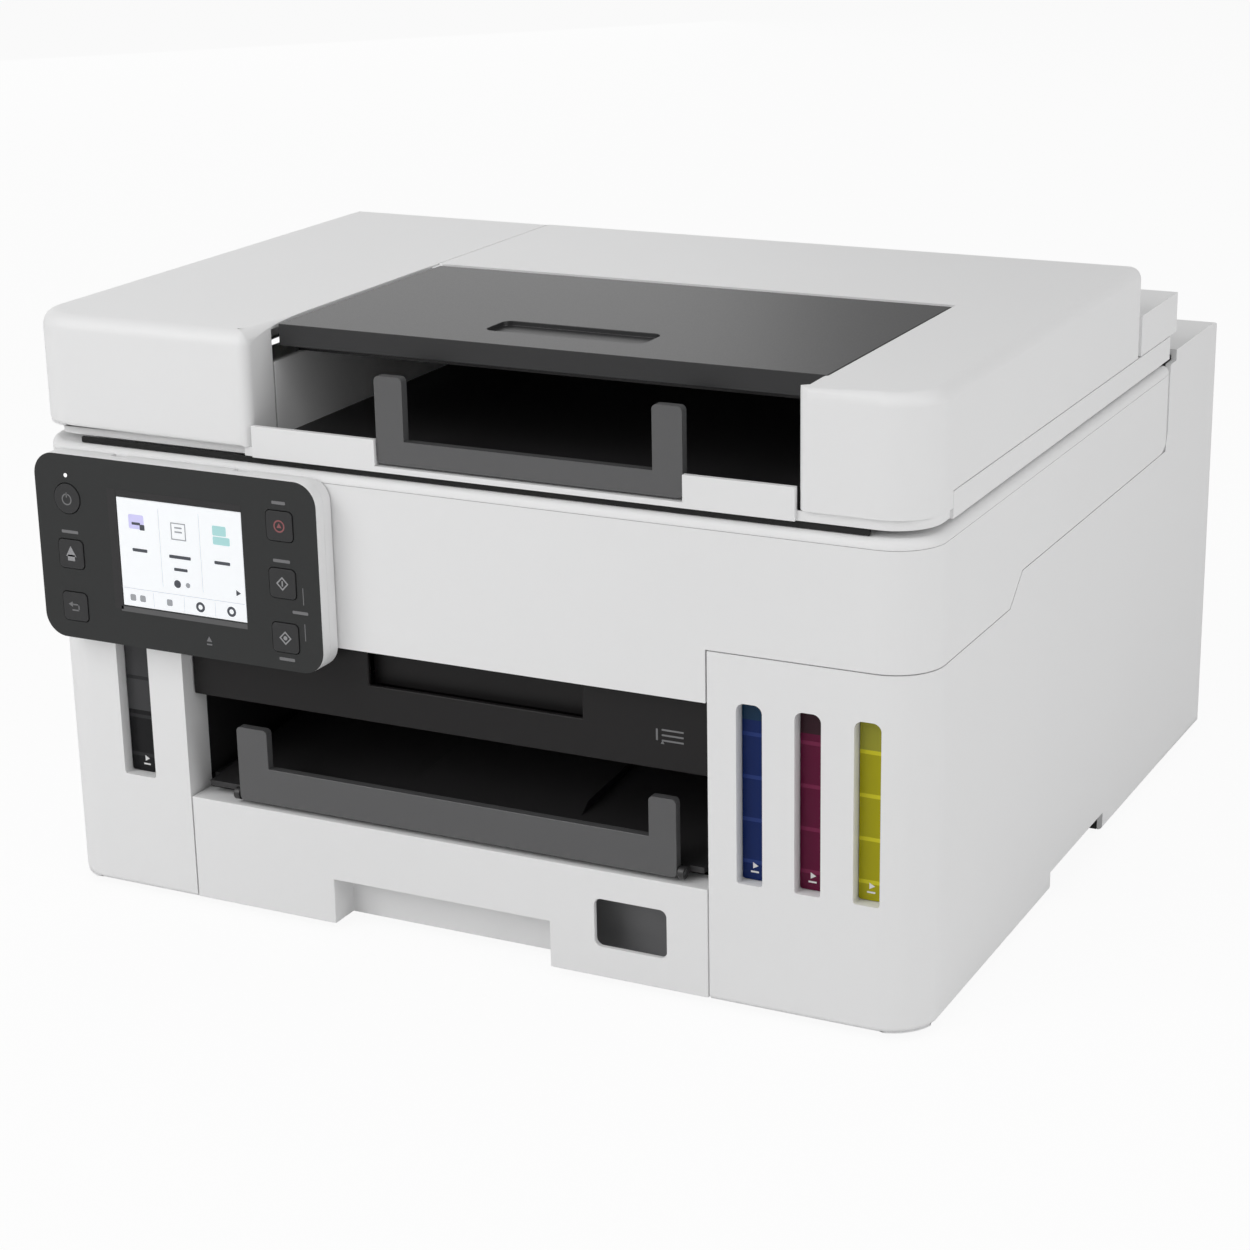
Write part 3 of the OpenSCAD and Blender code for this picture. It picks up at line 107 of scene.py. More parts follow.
class Bench:
    """The modelling bench: selection, edit mode and modifiers on one piece."""

    @staticmethod
    def clear() -> None:
        """Leaves edit mode and deselects everything."""
        if bpy.context.object and bpy.context.object.mode != "OBJECT":
            bpy.ops.object.mode_set(mode="OBJECT")
        for item in bpy.context.view_layer.objects:
            item.select_set(False)

    @staticmethod
    def take(piece: bpy.types.Object) -> None:
        """Makes one piece the only selected and active object.

        Args:
            piece: the object to work on.
        """
        Bench.clear()
        piece.select_set(True)
        bpy.context.view_layer.objects.active = piece

    @staticmethod
    def settle(piece: bpy.types.Object) -> bpy.types.Object:
        """Moves a piece's place into its mesh, with its object at the origin.

        Args:
            piece: the object to settle.

        Returns:
            The same object.
        """
        Bench.take(piece)
        bpy.ops.object.transform_apply(location=True, rotation=True, scale=True)
        return piece

    @staticmethod
    def enter(piece: bpy.types.Object, kind: str) -> bmesh.types.BMesh:
        """Opens a piece in edit mode with nothing selected.

        Args:
            piece: the object to open.
            kind: what will be selected, EDGE or FACE.

        Returns:
            The mesh in edit mode.
        """
        Bench.take(piece)
        bpy.ops.object.mode_set(mode="EDIT")
        bpy.ops.mesh.select_mode(type=kind)
        bpy.ops.mesh.select_all(action="DESELECT")
        return bmesh.from_edit_mesh(piece.data)

    @staticmethod
    def round_edges(piece: bpy.types.Object, test: EdgeTest, radius: float, steps: int) -> int:
        """Rounds the hard edges whose two ends pass a test.

        Args:
            piece: the object to round.
            test: takes an edge's two ends in millimetres.
            radius: the width of the rounding in millimetres.
            steps: how many faces the rounding has.

        Returns:
            How many edges were rounded.
        """
        picked = 0
        for edge in Bench.enter(piece, "EDGE").edges:
            if len(edge.link_faces) != 2 or edge.calc_face_angle(0.0) < HARD_ANGLE:
                continue
            if test(*(vertex.co / MM for vertex in edge.verts)):
                edge.select_set(True)
                picked += 1
        bmesh.update_edit_mesh(piece.data)
        if picked:
            bpy.ops.mesh.bevel(
                offset=radius * MM,
                segments=steps,
                profile=0.5,
                affect="EDGES",
                clamp_overlap=False,
            )
        bpy.ops.object.mode_set(mode="OBJECT")
        return picked

    @staticmethod
    def modifier(piece: bpy.types.Object, kind: str, **settings: object) -> None:
        """Adds one modifier to a piece and applies it.

        Args:
            piece: the object to change.
            kind: the modifier's type.
            **settings: the modifier's own values.
        """
        Bench.take(piece)
        added = piece.modifiers.new(kind.title(), kind)
        for key, value in settings.items():
            setattr(added, key, value)
        bpy.ops.object.modifier_apply(modifier=added.name)

    @staticmethod
    def smooth(piece: bpy.types.Object) -> None:
        """Shades a piece smooth, but for its sharp edges.

        Args:
            piece: the object to shade.
        """
        Bench.take(piece)
        bpy.ops.object.shade_smooth_by_angle(angle=SMOOTH_ANGLE)
        Bench.modifier(piece, "WEIGHTED_NORMAL", mode="FACE_AREA", weight=80, keep_sharp=True)

    @staticmethod
    def moulding(node: str, name: str) -> bpy.types.Object:
        """Copies a CAD node's mesh into a new piece, merged and with whole faces.

        Args:
            node: the CAD node's name.
            name: the new piece's name.

        Returns:
            The new object.
        """
        mesh = frame["nodes"][node].data.copy()
        mesh.materials.clear()
        piece = bpy.data.objects.new(name, mesh)
        bpy.context.scene.collection.objects.link(piece)
        Bench.take(piece)
        bpy.ops.object.mode_set(mode="EDIT")
        bpy.ops.mesh.select_all(action="SELECT")
        bpy.ops.mesh.remove_doubles(threshold=WELD)
        bpy.ops.mesh.dissolve_limited(angle_limit=FLAT_ANGLE)
        bpy.ops.object.mode_set(mode="OBJECT")
        return piece


def place_math(nodes: bpy.types.Nodes, operation: str, *values: float | None) -> bpy.types.Node:
    """Places a math node.

    Args:
        nodes: where it goes.
        operation: what it does.
        *values: its inputs' values in order, None for one that is wired.

    Returns:
        The node.
    """
    node = nodes.new("ShaderNodeMath")
    node.operation = operation
    for socket, value in zip(node.inputs, values):
        if value is not None:
            socket.default_value = value
    return node


def seen_mask(tree: bpy.types.NodeTree) -> bpy.types.NodeSocket:
    """Places a mask of what the camera sees, straight or through glass.

    Args:
        tree: the nodes of a material or a world.

    Returns:
        The mask, 1 where it is seen.
    """
    path = tree.nodes.new("ShaderNodeLightPath")
    seen = place_math(tree.nodes, "MAXIMUM")
    tree.links.new(path.outputs["Is Camera Ray"], seen.inputs[0])
    tree.links.new(path.outputs["Is Transmission Ray"], seen.inputs[1])
    return seen.outputs[0]


class NodeGroups:
    """The shared shader effects, each built once."""

    @staticmethod
    def _new(name: str, **ins: float | Colour) -> bpy.types.NodeTree:
        """Starts a node group with its sockets.

        Args:
            name: the group's name.
            **ins: each input's starting value.

        Returns:
            The group, with its input and output nodes placed.
        """
        group = bpy.data.node_groups.new(name, "ShaderNodeTree")
        for label, value in ins.items():
            kind = "NodeSocketColor" if isinstance(value, tuple) else "NodeSocketFloat"
            socket = group.interface.new_socket(name=label, in_out="INPUT", socket_type=kind)
            socket.default_value = (*value, 1.0) if isinstance(value, tuple) else value
        for label, kind in (("Colour", "Color"), ("Roughness", "Float"), ("Height", "Float")):
            group.interface.new_socket(
                name=label, in_out="OUTPUT", socket_type=f"NodeSocket{kind}"
            )
        group.nodes.new("NodeGroupInput")
        group.nodes.new("NodeGroupOutput")
        return group

    @staticmethod
    def _surface(
        group: bpy.types.NodeTree,
        amount: bpy.types.NodeSocket,
        relief: bpy.types.NodeSocket,
        roughen: float,
    ) -> None:
        """Wires a shade and a relief to the group's three outputs.

        Args:
            group: the node group.
            amount: what the colour is scaled by.
            relief: the relief, which also roughens.
            roughen: how much of the relief goes into the roughness.
        """
        nodes, links = group.nodes, group.links
        begin, end = nodes["Group Input"], nodes["Group Output"]
        shade = nodes.new("ShaderNodeVectorMath")
        shade.operation = "SCALE"
        links.new(begin.outputs["Colour"], shade.inputs[0])
        links.new(amount, shade.inputs["Scale"])
        links.new(shade.outputs[0], end.inputs["Colour"])
        rough = place_math(nodes, "MULTIPLY_ADD", None, roughen)
        links.new(relief, rough.inputs[0])
        links.new(begin.outputs["Gloss"], rough.inputs[2])
        links.new(rough.outputs[0], end.inputs["Roughness"])
        links.new(relief, end.inputs["Height"])

    @staticmethod
    @cache
    def moulded() -> bpy.types.NodeTree:
        """The fine spark-eroded texture of a moulding, with a slow drift of shade.

        Returns:
            A group that gives Colour, Roughness and Height.
        """
        group = NodeGroups._new(
            "Moulded Grain", Colour=(0.8, 0.8, 0.8), Gloss=0.5, Grain=2500.0, Drift=0.02
        )
        nodes, links = group.nodes, group.links
        begin = nodes["Group Input"]
        place = nodes.new("ShaderNodeTexCoord")
        fine = nodes.new("ShaderNodeTexNoise")
        fine.inputs["Detail"].default_value = 3.0
        slow = nodes.new("ShaderNodeTexNoise")
        slow.inputs["Scale"].default_value = 9.0
        slow.inputs["Detail"].default_value = 2.0
        links.new(place.outputs["Object"], fine.inputs["Vector"])
        links.new(begin.outputs["Grain"], fine.inputs["Scale"])
        links.new(place.outputs["Object"], slow.inputs["Vector"])
        centred = place_math(nodes, "SUBTRACT", None, 0.5)
        links.new(slow.outputs["Fac"], centred.inputs[0])
        amount = place_math(nodes, "MULTIPLY_ADD", None, None, 1.0)
        links.new(centred.outputs[0], amount.inputs[0])
        links.new(begin.outputs["Drift"], amount.inputs[1])
        NodeGroups._surface(group, amount.outputs[0], fine.outputs["Fac"], 0.12)
        return group

    @staticmethod
    @cache
    def brushed() -> bpy.types.NodeTree:
        """The drawn lines of rolled or ground metal along X.

        Returns:
            A group that gives Colour, Roughness and Height.
        """
        group = NodeGroups._new("Drawn Metal", Colour=(0.6, 0.6, 0.6), Gloss=0.3, Lines=900.0)
        nodes, links = group.nodes, group.links
        place = nodes.new("ShaderNodeTexCoord")
        stretch = nodes.new("ShaderNodeMapping")
        stretch.inputs["Scale"].default_value = (0.03, 1.0, 1.0)
        lines = nodes.new("ShaderNodeTexNoise")
        lines.inputs["Detail"].default_value = 2.0
        links.new(place.outputs["Object"], stretch.inputs["Vector"])
        links.new(stretch.outputs["Vector"], lines.inputs["Vector"])
        links.new(nodes["Group Input"].outputs["Lines"], lines.inputs["Scale"])
        amount = place_math(nodes, "MULTIPLY_ADD", None, 0.25, 0.88)
        links.new(lines.outputs["Fac"], amount.inputs[0])
        NodeGroups._surface(group, amount.outputs[0], lines.outputs["Fac"], 0.2)
        return group


class Paint:
    """One material's nodes: its principled shader, groups and bump."""

    def __init__(self, name: str) -> None:
        """Starts a material.

        Args:
            name: the material's name.
        """
        self.material = bpy.data.materials.new(name)
        self.material.use_nodes = True
        self.nodes = self.material.node_tree.nodes
        self.links = self.material.node_tree.links
        self.shader = self.nodes["Principled BSDF"]

    def set(self, **values: object) -> "Paint":
        """Sets plain values on the shader, with underscores for spaces.

        Args:
            **values: socket names and values.

        Returns:
            This paint.
        """
        for key, value in values.items():
            self.shader.inputs[key.replace("_", " ")].default_value = value
        return self

    def group(self, tree: bpy.types.NodeTree, **values: object) -> bpy.types.Node:
        """Places a shared effect and sets its inputs.

        Args:
            tree: the effect.
            **values: its inputs.

        Returns:
            The placed node.
        """
        node = self.nodes.new("ShaderNodeGroup")
        node.node_tree = tree
        for key, value in values.items():
            node.inputs[key].default_value = (*value, 1.0) if isinstance(value, tuple) else value
        return node

    def wire(self, source: bpy.types.NodeSocket, target: str) -> None:
        """Joins an output to one of the shader's inputs.

        Args:
            source: the output.
            target: the input's name.
        """
        self.links.new(source, self.shader.inputs[target])

    def cover(
        self,
        effect: bpy.types.Node,
        depth: float,
        relief: bpy.types.NodeSocket | None = None,
    ) -> bpy.types.Material:
        """Lays an effect's colour, roughness and relief over the shader.

        Args:
            effect: the placed effect.
            depth: the relief's depth in millimetres.
            relief: the relief's source, if it isn't the effect's own.

        Returns:
            The finished material.
        """
        self.wire(effect.outputs["Colour"], "Base Color")
        self.wire(effect.outputs["Roughness"], "Roughness")
        node = self.nodes.new("ShaderNodeBump")
        node.inputs["Distance"].default_value = depth * MM
        node.inputs["Strength"].default_value = 1.0
        self.links.new(relief or effect.outputs["Height"], node.inputs["Height"])
        self.wire(node.outputs["Normal"], "Normal")
        return self.material


@dataclass(frozen=True)
class Plastic:
    """A moulded plastic with its spark-eroded grain."""

    name: str
    colour: Colour
    gloss: float
    grain: float = 2600.0
    depth: float = 0.02
    drift: float = 0.03
    specular: float = 0.45
    coat: float = 0.0

    def make(self) -> bpy.types.Material:
        """Builds the material.

        Returns:
            The finished material.
        """
        paint = Paint(self.name).set(Specular_IOR_Level=self.specular)
        if self.coat:
            paint.set(Coat_Weight=self.coat, Coat_Roughness=0.18)
        effect = paint.group(
            NodeGroups.moulded(),
            Colour=self.colour,
            Gloss=self.gloss,
            Grain=self.grain,
            Drift=self.drift,
        )
        return paint.cover(effect, self.depth)


@dataclass(frozen=True)
class Metal:
    """A drawn or rolled metal."""

    name: str
    colour: Colour
    gloss: float
    lines: float = 900.0
    depth: float = 0.01

    def make(self) -> bpy.types.Material:
        """Builds the material.

        Returns:
            The finished material.
        """
        paint = Paint(self.name).set(Metallic=1.0)
        effect = paint.group(
            NodeGroups.brushed(), Colour=self.colour, Gloss=self.gloss, Lines=self.lines
        )
        return paint.cover(effect, self.depth)


@dataclass(frozen=True)
class InkWindow:
    """A tank wall with ink behind it: level lines, and the bare wall above the ink."""

    name: str
    ink: Colour
    wall: Colour
    level: float
    pitch: float = 17.5
    base: float = 54.0
    line: float = 0.8
    depth: float = 0.01

    def make(self) -> bpy.types.Material:
        """Builds the material.

        Returns:
            The finished material.
        """
        paint = Paint(self.name).set(Specular_IOR_Level=0.18)
        nodes, links = paint.nodes, paint.links
        place = nodes.new("ShaderNodeTexCoord")
        split = nodes.new("ShaderNodeSeparateXYZ")
        links.new(place.outputs["Object"], split.inputs[0])
        step = place_math(nodes, "WRAP", None, (self.base + self.pitch) * MM, self.base * MM)
        links.new(split.outputs["Z"], step.inputs[0])
        middle = (self.base + self.pitch * 0.5) * MM
        line = place_math(nodes, "COMPARE", None, middle, self.line * MM)
        links.new(step.outputs[0], line.inputs[0])
        filled = place_math(nodes, "LESS_THAN", None, self.level * MM)
        links.new(split.outputs["Z"], filled.inputs[0])
        mix = nodes.new("ShaderNodeMix")
        mix.data_type = "RGBA"
        mix.inputs["A"].default_value = (*self.wall, 1.0)
        mix.inputs["B"].default_value = (*self.ink, 1.0)
        links.new(filled.outputs[0], mix.inputs["Factor"])
        marked = nodes.new("ShaderNodeMix")
        marked.data_type = "RGBA"
        light = tuple(min(1.0, value * 1.6 + 0.012) for value in self.ink)
        marked.inputs["B"].default_value = (*light, 1.0)
        links.new(line.outputs[0], marked.inputs["Factor"])
        links.new(mix.outputs["Result"], marked.inputs["A"])
        effect = paint.group(NodeGroups.moulded(), Gloss=0.14, Grain=400.0, Drift=0.12)
        links.new(marked.outputs["Result"], effect.inputs["Colour"])
        return paint.cover(effect, self.depth)


@dataclass(frozen=True)
class Lit:
    """A lit or printed face with its own light."""

    name: str
    colour: Colour
    strength: float = 0.0
    gloss: float = 0.35
    depth: float = 0.002

    def make(self) -> bpy.types.Material:
        """Builds the material.

        Returns:
            The finished material.
        """
        paint = Paint(self.name).set(Emission_Strength=self.strength)
        effect = paint.group(
            NodeGroups.moulded(), Colour=self.colour, Gloss=self.gloss, Grain=3000.0, Drift=0.03
        )
        paint.wire(effect.outputs["Colour"], "Emission Color")
        return paint.cover(effect, self.depth)


@dataclass(frozen=True)
class Glass:
    """A clear pane."""

    name: str
    colour: Colour = (0.93, 0.97, 0.96)

    def make(self) -> bpy.types.Material:
        """Builds the material.

        Returns:
            The finished material.
        """
        paint = Paint(self.name).set(Transmission_Weight=1.0, IOR=1.5, Roughness=0.02)
        effect = paint.group(
            NodeGroups.moulded(), Colour=self.colour, Gloss=0.0, Grain=30.0, Drift=0.02
        )
        paint.wire(effect.outputs["Colour"], "Base Color")
        return paint.material


@dataclass(frozen=True)
class Circuit:
    """A green circuit board with tinned tracks."""

    name: str
    resist: Colour = (0.01, 0.09, 0.035)
    track: Colour = (0.03, 0.2, 0.08)
    depth: float = 0.03

    def make(self) -> bpy.types.Material:
        """Builds the material.

        Returns:
            The finished material.
        """
        paint = Paint(self.name).set(Coat_Weight=0.5, Coat_Roughness=0.15)
        nodes, links = paint.nodes, paint.links
        place = nodes.new("ShaderNodeTexCoord")
        bricks = nodes.new("ShaderNodeTexBrick")
        bricks.inputs["Scale"].default_value = 120.0
        bricks.inputs["Mortar Size"].default_value = 0.04
        bricks.inputs["Color1"].default_value = (*self.resist, 1.0)
        bricks.inputs["Color2"].default_value = (*self.resist, 1.0)
        bricks.inputs["Mortar"].default_value = (*self.track, 1.0)
        links.new(place.outputs["Object"], bricks.inputs["Vector"])
        effect = paint.group(NodeGroups.moulded(), Gloss=0.3, Grain=900.0, Drift=0.1)
        links.new(bricks.outputs["Color"], effect.inputs["Colour"])
        return paint.cover(effect, self.depth, bricks.outputs["Fac"])


class Finish(Enum):
    """The finishes of the machine, by the part they belong to."""

    WHITE = Plastic("white_shell", (0.82, 0.82, 0.822), 0.42, 2400.0, 0.018, 0.025)
    GREY = Plastic("grey_inner", (0.2, 0.2, 0.205), 0.5, 1800.0, 0.03, 0.06)
    CHARCOAL = Plastic("charcoal_satin", (0.028, 0.027, 0.028), 0.3, 2600.0, 0.006, 0.08, 0.5)
    SMOKE = Plastic("smoke_stop", (0.085, 0.085, 0.087), 0.28, 1500.0, 0.004, 0.12, 0.5, 0.3)
    DARK = Plastic("dark_inner", (0.02, 0.019, 0.02), 0.42, 1600.0, 0.03, 0.1)
    BEZEL = Plastic("panel_bezel", (0.02, 0.021, 0.021), 0.46, 3000.0, 0.014, 0.06, 0.4)
    KEY = Plastic("panel_key", (0.022, 0.022, 0.023), 0.36, 3000.0, 0.01, 0.06, 0.45)
    RUBBER = Plastic("soft_rubber", (0.018, 0.018, 0.018), 0.75, 900.0, 0.08, 0.15, 0.3)
    FOAM = Plastic("foam_pad", (0.8, 0.8, 0.79), 0.8, 1200.0, 0.12, 0.05, 0.2)
    TUBE = Plastic("soft_tube", (0.3, 0.3, 0.32), 0.25, 500.0, 0.01, 0.1, 0.5, 0.3)
    BLACK_INK = InkWindow("window_black", (0.008, 0.008, 0.009), (0.05, 0.05, 0.052), 83.0)
    CYAN_INK = InkWindow("window_cyan", (0.003, 0.016, 0.1), (0.006, 0.03, 0.07), 121.0)
    MAGENTA_INK = InkWindow("window_magenta", (0.1, 0.002, 0.03), (0.03, 0.008, 0.014), 119.0)
    YELLOW_INK = InkWindow("window_yellow", (0.36, 0.33, 0.005), (0.3, 0.29, 0.03), 116.0)
    SHEET = Metal("zinc_sheet", (0.55, 0.56, 0.57), 0.32)
    RAIL = Metal("ground_rail", (0.62, 0.62, 0.63), 0.18, 1600.0)
    SCREW = Metal("zinc_screw", (0.45, 0.45, 0.46), 0.25, 2200.0)
    GLASS = Glass("platen_glass")
    BOARD = Circuit("circuit_board")
    SCREEN = Lit("screen_field", (0.86, 0.88, 0.9), 0.2)
    FASCIA = Plastic("fascia_satin", (0.01, 0.009, 0.0093), 0.4, 2600.0, 0.006, 0.1, 0.28)
    TRAY = Plastic("tray_cover_satin", (0.024, 0.024, 0.025), 0.3, 2600.0, 0.004, 0.05, 0.4)
    UI_RULE = Lit("screen_rule", (0.6, 0.62, 0.66), 0.2)
    UI_DARK = Lit("screen_dark", (0.06, 0.065, 0.08), 0.1)
    UI_GREY = Lit("screen_grey", (0.3, 0.31, 0.33), 0.2)
    UI_VIOLET = Lit("screen_violet", (0.55, 0.53, 0.8), 0.25)
    UI_GREEN = Lit("screen_green", (0.35, 0.6, 0.6), 0.25)
    LED = Lit("power_lamp", (0.9, 0.9, 0.9), 0.6)
    PRINT_GREY = Lit("print_grey", (0.17, 0.17, 0.175), 0.0, 0.5)
    PRINT_LIGHT = Lit("print_light", (0.3, 0.3, 0.31), 0.0, 0.5)
    PRINT_RED = Lit("print_red", (0.28, 0.09, 0.095), 0.0, 0.5)
    PRINT_WHITE = Lit("print_white", (0.75, 0.75, 0.75), 0.0, 0.5)

    def material(self) -> bpy.types.Material:
        """The finish's material, built the first time it is asked for.

        Returns:
            The material.
        """
        found = bpy.data.materials.get(self.value.name)
        return found or self.value.make()


def dress(piece: bpy.types.Object, finish: Finish) -> None:
    """Gives a whole piece one finish.

    Args:
        piece: the object to dress.
        finish: its finish.
    """
    material = finish.material()
    if not piece.data.materials:
        piece.data.materials.append(material)
    for index in range(len(piece.data.materials)):
        piece.data.materials[index] = material


def carry(*nodes: str, finish: Finish) -> None:
    """Carries CAD nodes over with a better finish.

    Args:
        *nodes: the nodes' names.
        finish: their finish.
    """
    for node in nodes:
        dress(frame["nodes"][node], finish)
        log.info("carried %s as %s", node, finish.name)


Rounding = tuple[EdgeTest, float, int]
Accent = tuple[FaceTest, Finish]


def soften(
    node: str,
    finish: Finish,
    edge: float,
    rounds: Iterable[Rounding] = (),
    accents: Iterable[Accent] = (),
) -> bpy.types.Object:
    """Replaces a CAD shell by the same shell with rounded edges.

    Args:
        node: the CAD node it stands for.
        finish: its finish.
        edge: the radius of every other hard edge, in millimetres.
        rounds: larger roundings, each a test, a radius and its steps.
        accents: faces of another finish, each a test and the finish.

    Returns:
        The new piece.
    """
    piece = Bench.moulding(node, f"{node}_shell")
    for test, radius, steps in rounds:
        count = Bench.round_edges(piece, test, radius, steps)
        log.info("%s: %d edges rounded to %.1f mm", piece.name, count, radius)
    Bench.modifier(
        piece,
        "BEVEL",
        width=edge * MM,
        segments=2,
        limit_method="ANGLE",
        angle_limit=BEVEL_ANGLE,
        use_clamp_overlap=True,
        harden_normals=False,
    )
    Bench.smooth(piece)
    dress(piece, finish)
    for place, (test, other) in enumerate(accents, start=1):
        piece.data.materials.append(other.material())
        for face in piece.data.polygons:
            if test(face.center / MM, face.normal):
                face.material_index = place
    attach(piece, frame["nodes"][node]["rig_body"])
    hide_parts(node)
    log.info("softened %s: %d faces", node, len(piece.data.polygons))
    return piece


@dataclass
class Stencil:
    """Draws small flat marks on a face that looks towards -Y."""

    face_y: float
    finish: Finish
    body: str
    rise: float = 0.06
    sink: float = 0.15
    parts: list[bpy.types.Object] = field(default_factory=list)

    def _stand(self, x: float, z: float, turn: float = 0.0) -> None:
        """Gives the active flat shape its thickness and stands it up at its place.

        Args:
            x: its middle along X, in millimetres.
            z: its height, in millimetres.
            turn: its turn in its own plane, in degrees.
        """
        piece = bpy.context.object
        bpy.ops.object.mode_set(mode="EDIT")
        bpy.ops.mesh.select_all(action="SELECT")
        bpy.ops.mesh.extrude_region_move(
            TRANSFORM_OT_translate={"value": (0.0, 0.0, (self.rise + self.sink) * MM)}
        )
        bpy.ops.mesh.select_all(action="SELECT")
        bpy.ops.mesh.normals_make_consistent(inside=False)
        bpy.ops.object.mode_set(mode="OBJECT")
        if turn:
            piece.rotation_euler = (0.0, 0.0, math.radians(turn))
            Bench.settle(piece)
        piece.rotation_euler = (math.pi / 2, 0.0, 0.0)
        piece.location = metres((x, self.face_y + self.sink, z))
        Bench.settle(piece)
        self.parts.append(piece)

    @staticmethod
    def circle(radius: float, sides: int) -> None:
        """Lays a flat disc or regular polygon at the origin.

        Args:
            radius: its radius, in millimetres.
            sides: how many sides it has.
        """
        Bench.clear()
        bpy.ops.mesh.primitive_circle_add(
            vertices=sides, radius=radius * MM, fill_type="NGON", location=(0.0, 0.0, 0.0)
        )

    def bar(self, x: float, z: float, wide: float, high: float, corner: float = 0.0) -> None:
        """Draws a rounded bar.

        Args:
            x: its middle along X.
            z: its middle height.
            wide: its width.
            high: its height.
            corner: its corner radius.
        """
        Bench.clear()
        bpy.ops.mesh.primitive_plane_add(size=1.0, location=(0.0, 0.0, 0.0))
        piece = bpy.context.object
        piece.scale = (wide * MM, high * MM, 1.0)
        Bench.settle(piece)
        bpy.ops.object.mode_set(mode="EDIT")
        if corner > 0:
            bpy.ops.mesh.select_all(action="SELECT")
            bpy.ops.mesh.bevel(
                offset=corner * MM, segments=4, affect="VERTICES", clamp_overlap=True
            )
        self._stand(x, z)

    def disc(self, x: float, z: float, radius: float, sides: int = 24, turn: float = 0.0) -> None:
        """Draws a disc or a regular polygon.

        Args:
            x: its middle along X.
            z: its middle height.
            radius: its radius.
            sides: how many sides it has.
            turn: its turn in degrees.
        """
        self.circle(radius, sides)
        self._stand(x, z, turn)

    def ring(
        self,
        x: float,
        z: float,
        radius: float,
        width: float,
        sides: int = 32,
        turn: float = 0.0,
    ) -> None:
        """Draws a ring or a polygon's outline.

        Args:
            x: its middle along X.
            z: its middle height.
            radius: its outer radius.
            width: the width of its line.
            sides: how many sides it has.
            turn: its turn in degrees.
        """
        self.circle(radius, sides)
        bpy.ops.object.mode_set(mode="EDIT")
        bpy.ops.mesh.select_mode(type="FACE")
        bpy.ops.mesh.select_all(action="SELECT")
        bpy.ops.mesh.inset(thickness=width * MM)
        bpy.ops.mesh.delete(type="FACE")
        self._stand(x, z, turn)

    def close(self, name: str, slot: str = "") -> bpy.types.Object:
        """Joins what was drawn into one dressed piece.

        Args:
            name: the piece's name.
            slot: not used.

        Returns:
            The piece.
        """
        Bench.take(self.parts[0])
        for part in self.parts:
            part.select_set(True)
        if len(self.parts) > 1:
            bpy.ops.object.join()
        piece = self.parts[0]
        piece.name = name
        dress(piece, self.finish)
        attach(piece, self.body)
        log.info("drew %s: %d faces", name, len(piece.data.polygons))
        return piece


def band(*planes: tuple[Axis, float, float]) -> EdgeTest:
    """Makes a test for edges that lie within bands along the axes.

    Args:
        *planes: each an axis and the band's two ends in millimetres.

    Returns:
        The test.
    """

    def test(first: Vector, second: Vector) -> bool:
        """Whether both ends of an edge lie in every band."""
        return all(
            low <= point[axis.value] <= high
            for axis, low, high in planes
            for point in (first, second)
        )

    return test


@dataclass(frozen=True)
class Rim:
    """The outline of a shell seen from above: its outer faces and front corners."""

    left: float
    right: float
    front: float
    back: float
    height: float
    corner: float = 20.0
    rear_corner: float = 6.0

    def on(self, point: Vector) -> bool:
        """Whether a point lies on the outline at its height.

        Args:
            point: the point in millimetres.

        Returns:
            True on the outer faces and on the rounded corners between them.
        """
        if abs(point.z - self.height) > ON_LEVEL:
            return False
        aside = min(point.x - self.left, self.right - point.x)
        if aside < ON_PLANE:
            return True
        if point.y < self.front + ON_PLANE or point.y > self.back - ON_PLANE:
            return True
        if point.y > self.back - self.rear_corner:
            return aside < self.rear_corner
        return point.y < self.front + self.corner and aside < self.corner

    def __call__(self, first: Vector, second: Vector) -> bool:
        """Whether both ends of an edge lie on the outline."""
        return self.on(first) and self.on(second)


@dataclass
class Body:
    """The lower case: towers, rear cover, base, fascia and the works inside."""

    edge: float = 0.7
    half: float = 199.5
    front: float = -193.0
    back: float = 205.0
    low: float = 3.0
    fascia: float = -186.0

    def build(self) -> None:
        """Builds and dresses the lower case."""
        rim = Rim(-self.half, self.half, self.front, self.back, self.low)
        for node in ("left_cover", "right_cover"):
            soften(node, Finish.WHITE, self.edge, [(rim, 2.2, 4)])
        soften("rear_cover", Finish.WHITE, self.edge)
        soften("front_fascia", Finish.FASCIA, 0.6)
        self.fascia_marks()
        self.works()
        soften("rear_tray_cover", Finish.WHITE, 0.6)

    def fascia_marks(self) -> None:
        """Draws the sign for paper and the back of the grip in the fascia."""
        sign = Stencil(self.fascia, Finish.PRINT_GREY, "printer")
        for z in (110.6, 108.4, 106.2):
            sign.bar(93.4, z, 9.4, 0.7, 0.2)
        sign.bar(86.6, 108.4, 0.8, 4.8, 0.2)
        sign.disc(89.0, 105.2, 0.9, 3, 0.0)
        sign.close("paper_sign")
        pocket = Stencil(self.fascia + 7.0, Finish.FASCIA, "printer", 0.4, 0.8)
        pocket.bar(5.0, 124.0, 100.0, 30.0, 1.0)
        pocket.close("grip_pocket", "dark_plastic")

    def works(self) -> None:
        """Dresses the base, the frame and the works inside."""
        dark = ("base_chassis", "platen", "purge_unit", "power_inlet", "port_block")
        carry(*dark, finish=Finish.DARK)
        carry("metal_frame", finish=Finish.SHEET)
        carry("carriage_rail", finish=Finish.RAIL)
        carry("power_supply", "drive_motors", "maintenance_cartridge", finish=Finish.GREY)
        carry("main_board", finish=Finish.BOARD)
        carry("timing_belt", "rubber_feet", finish=Finish.RUBBER)
        carry("cover_screws", finish=Finish.SCREW)
        carry("ink_tubes", finish=Finish.TUBE)


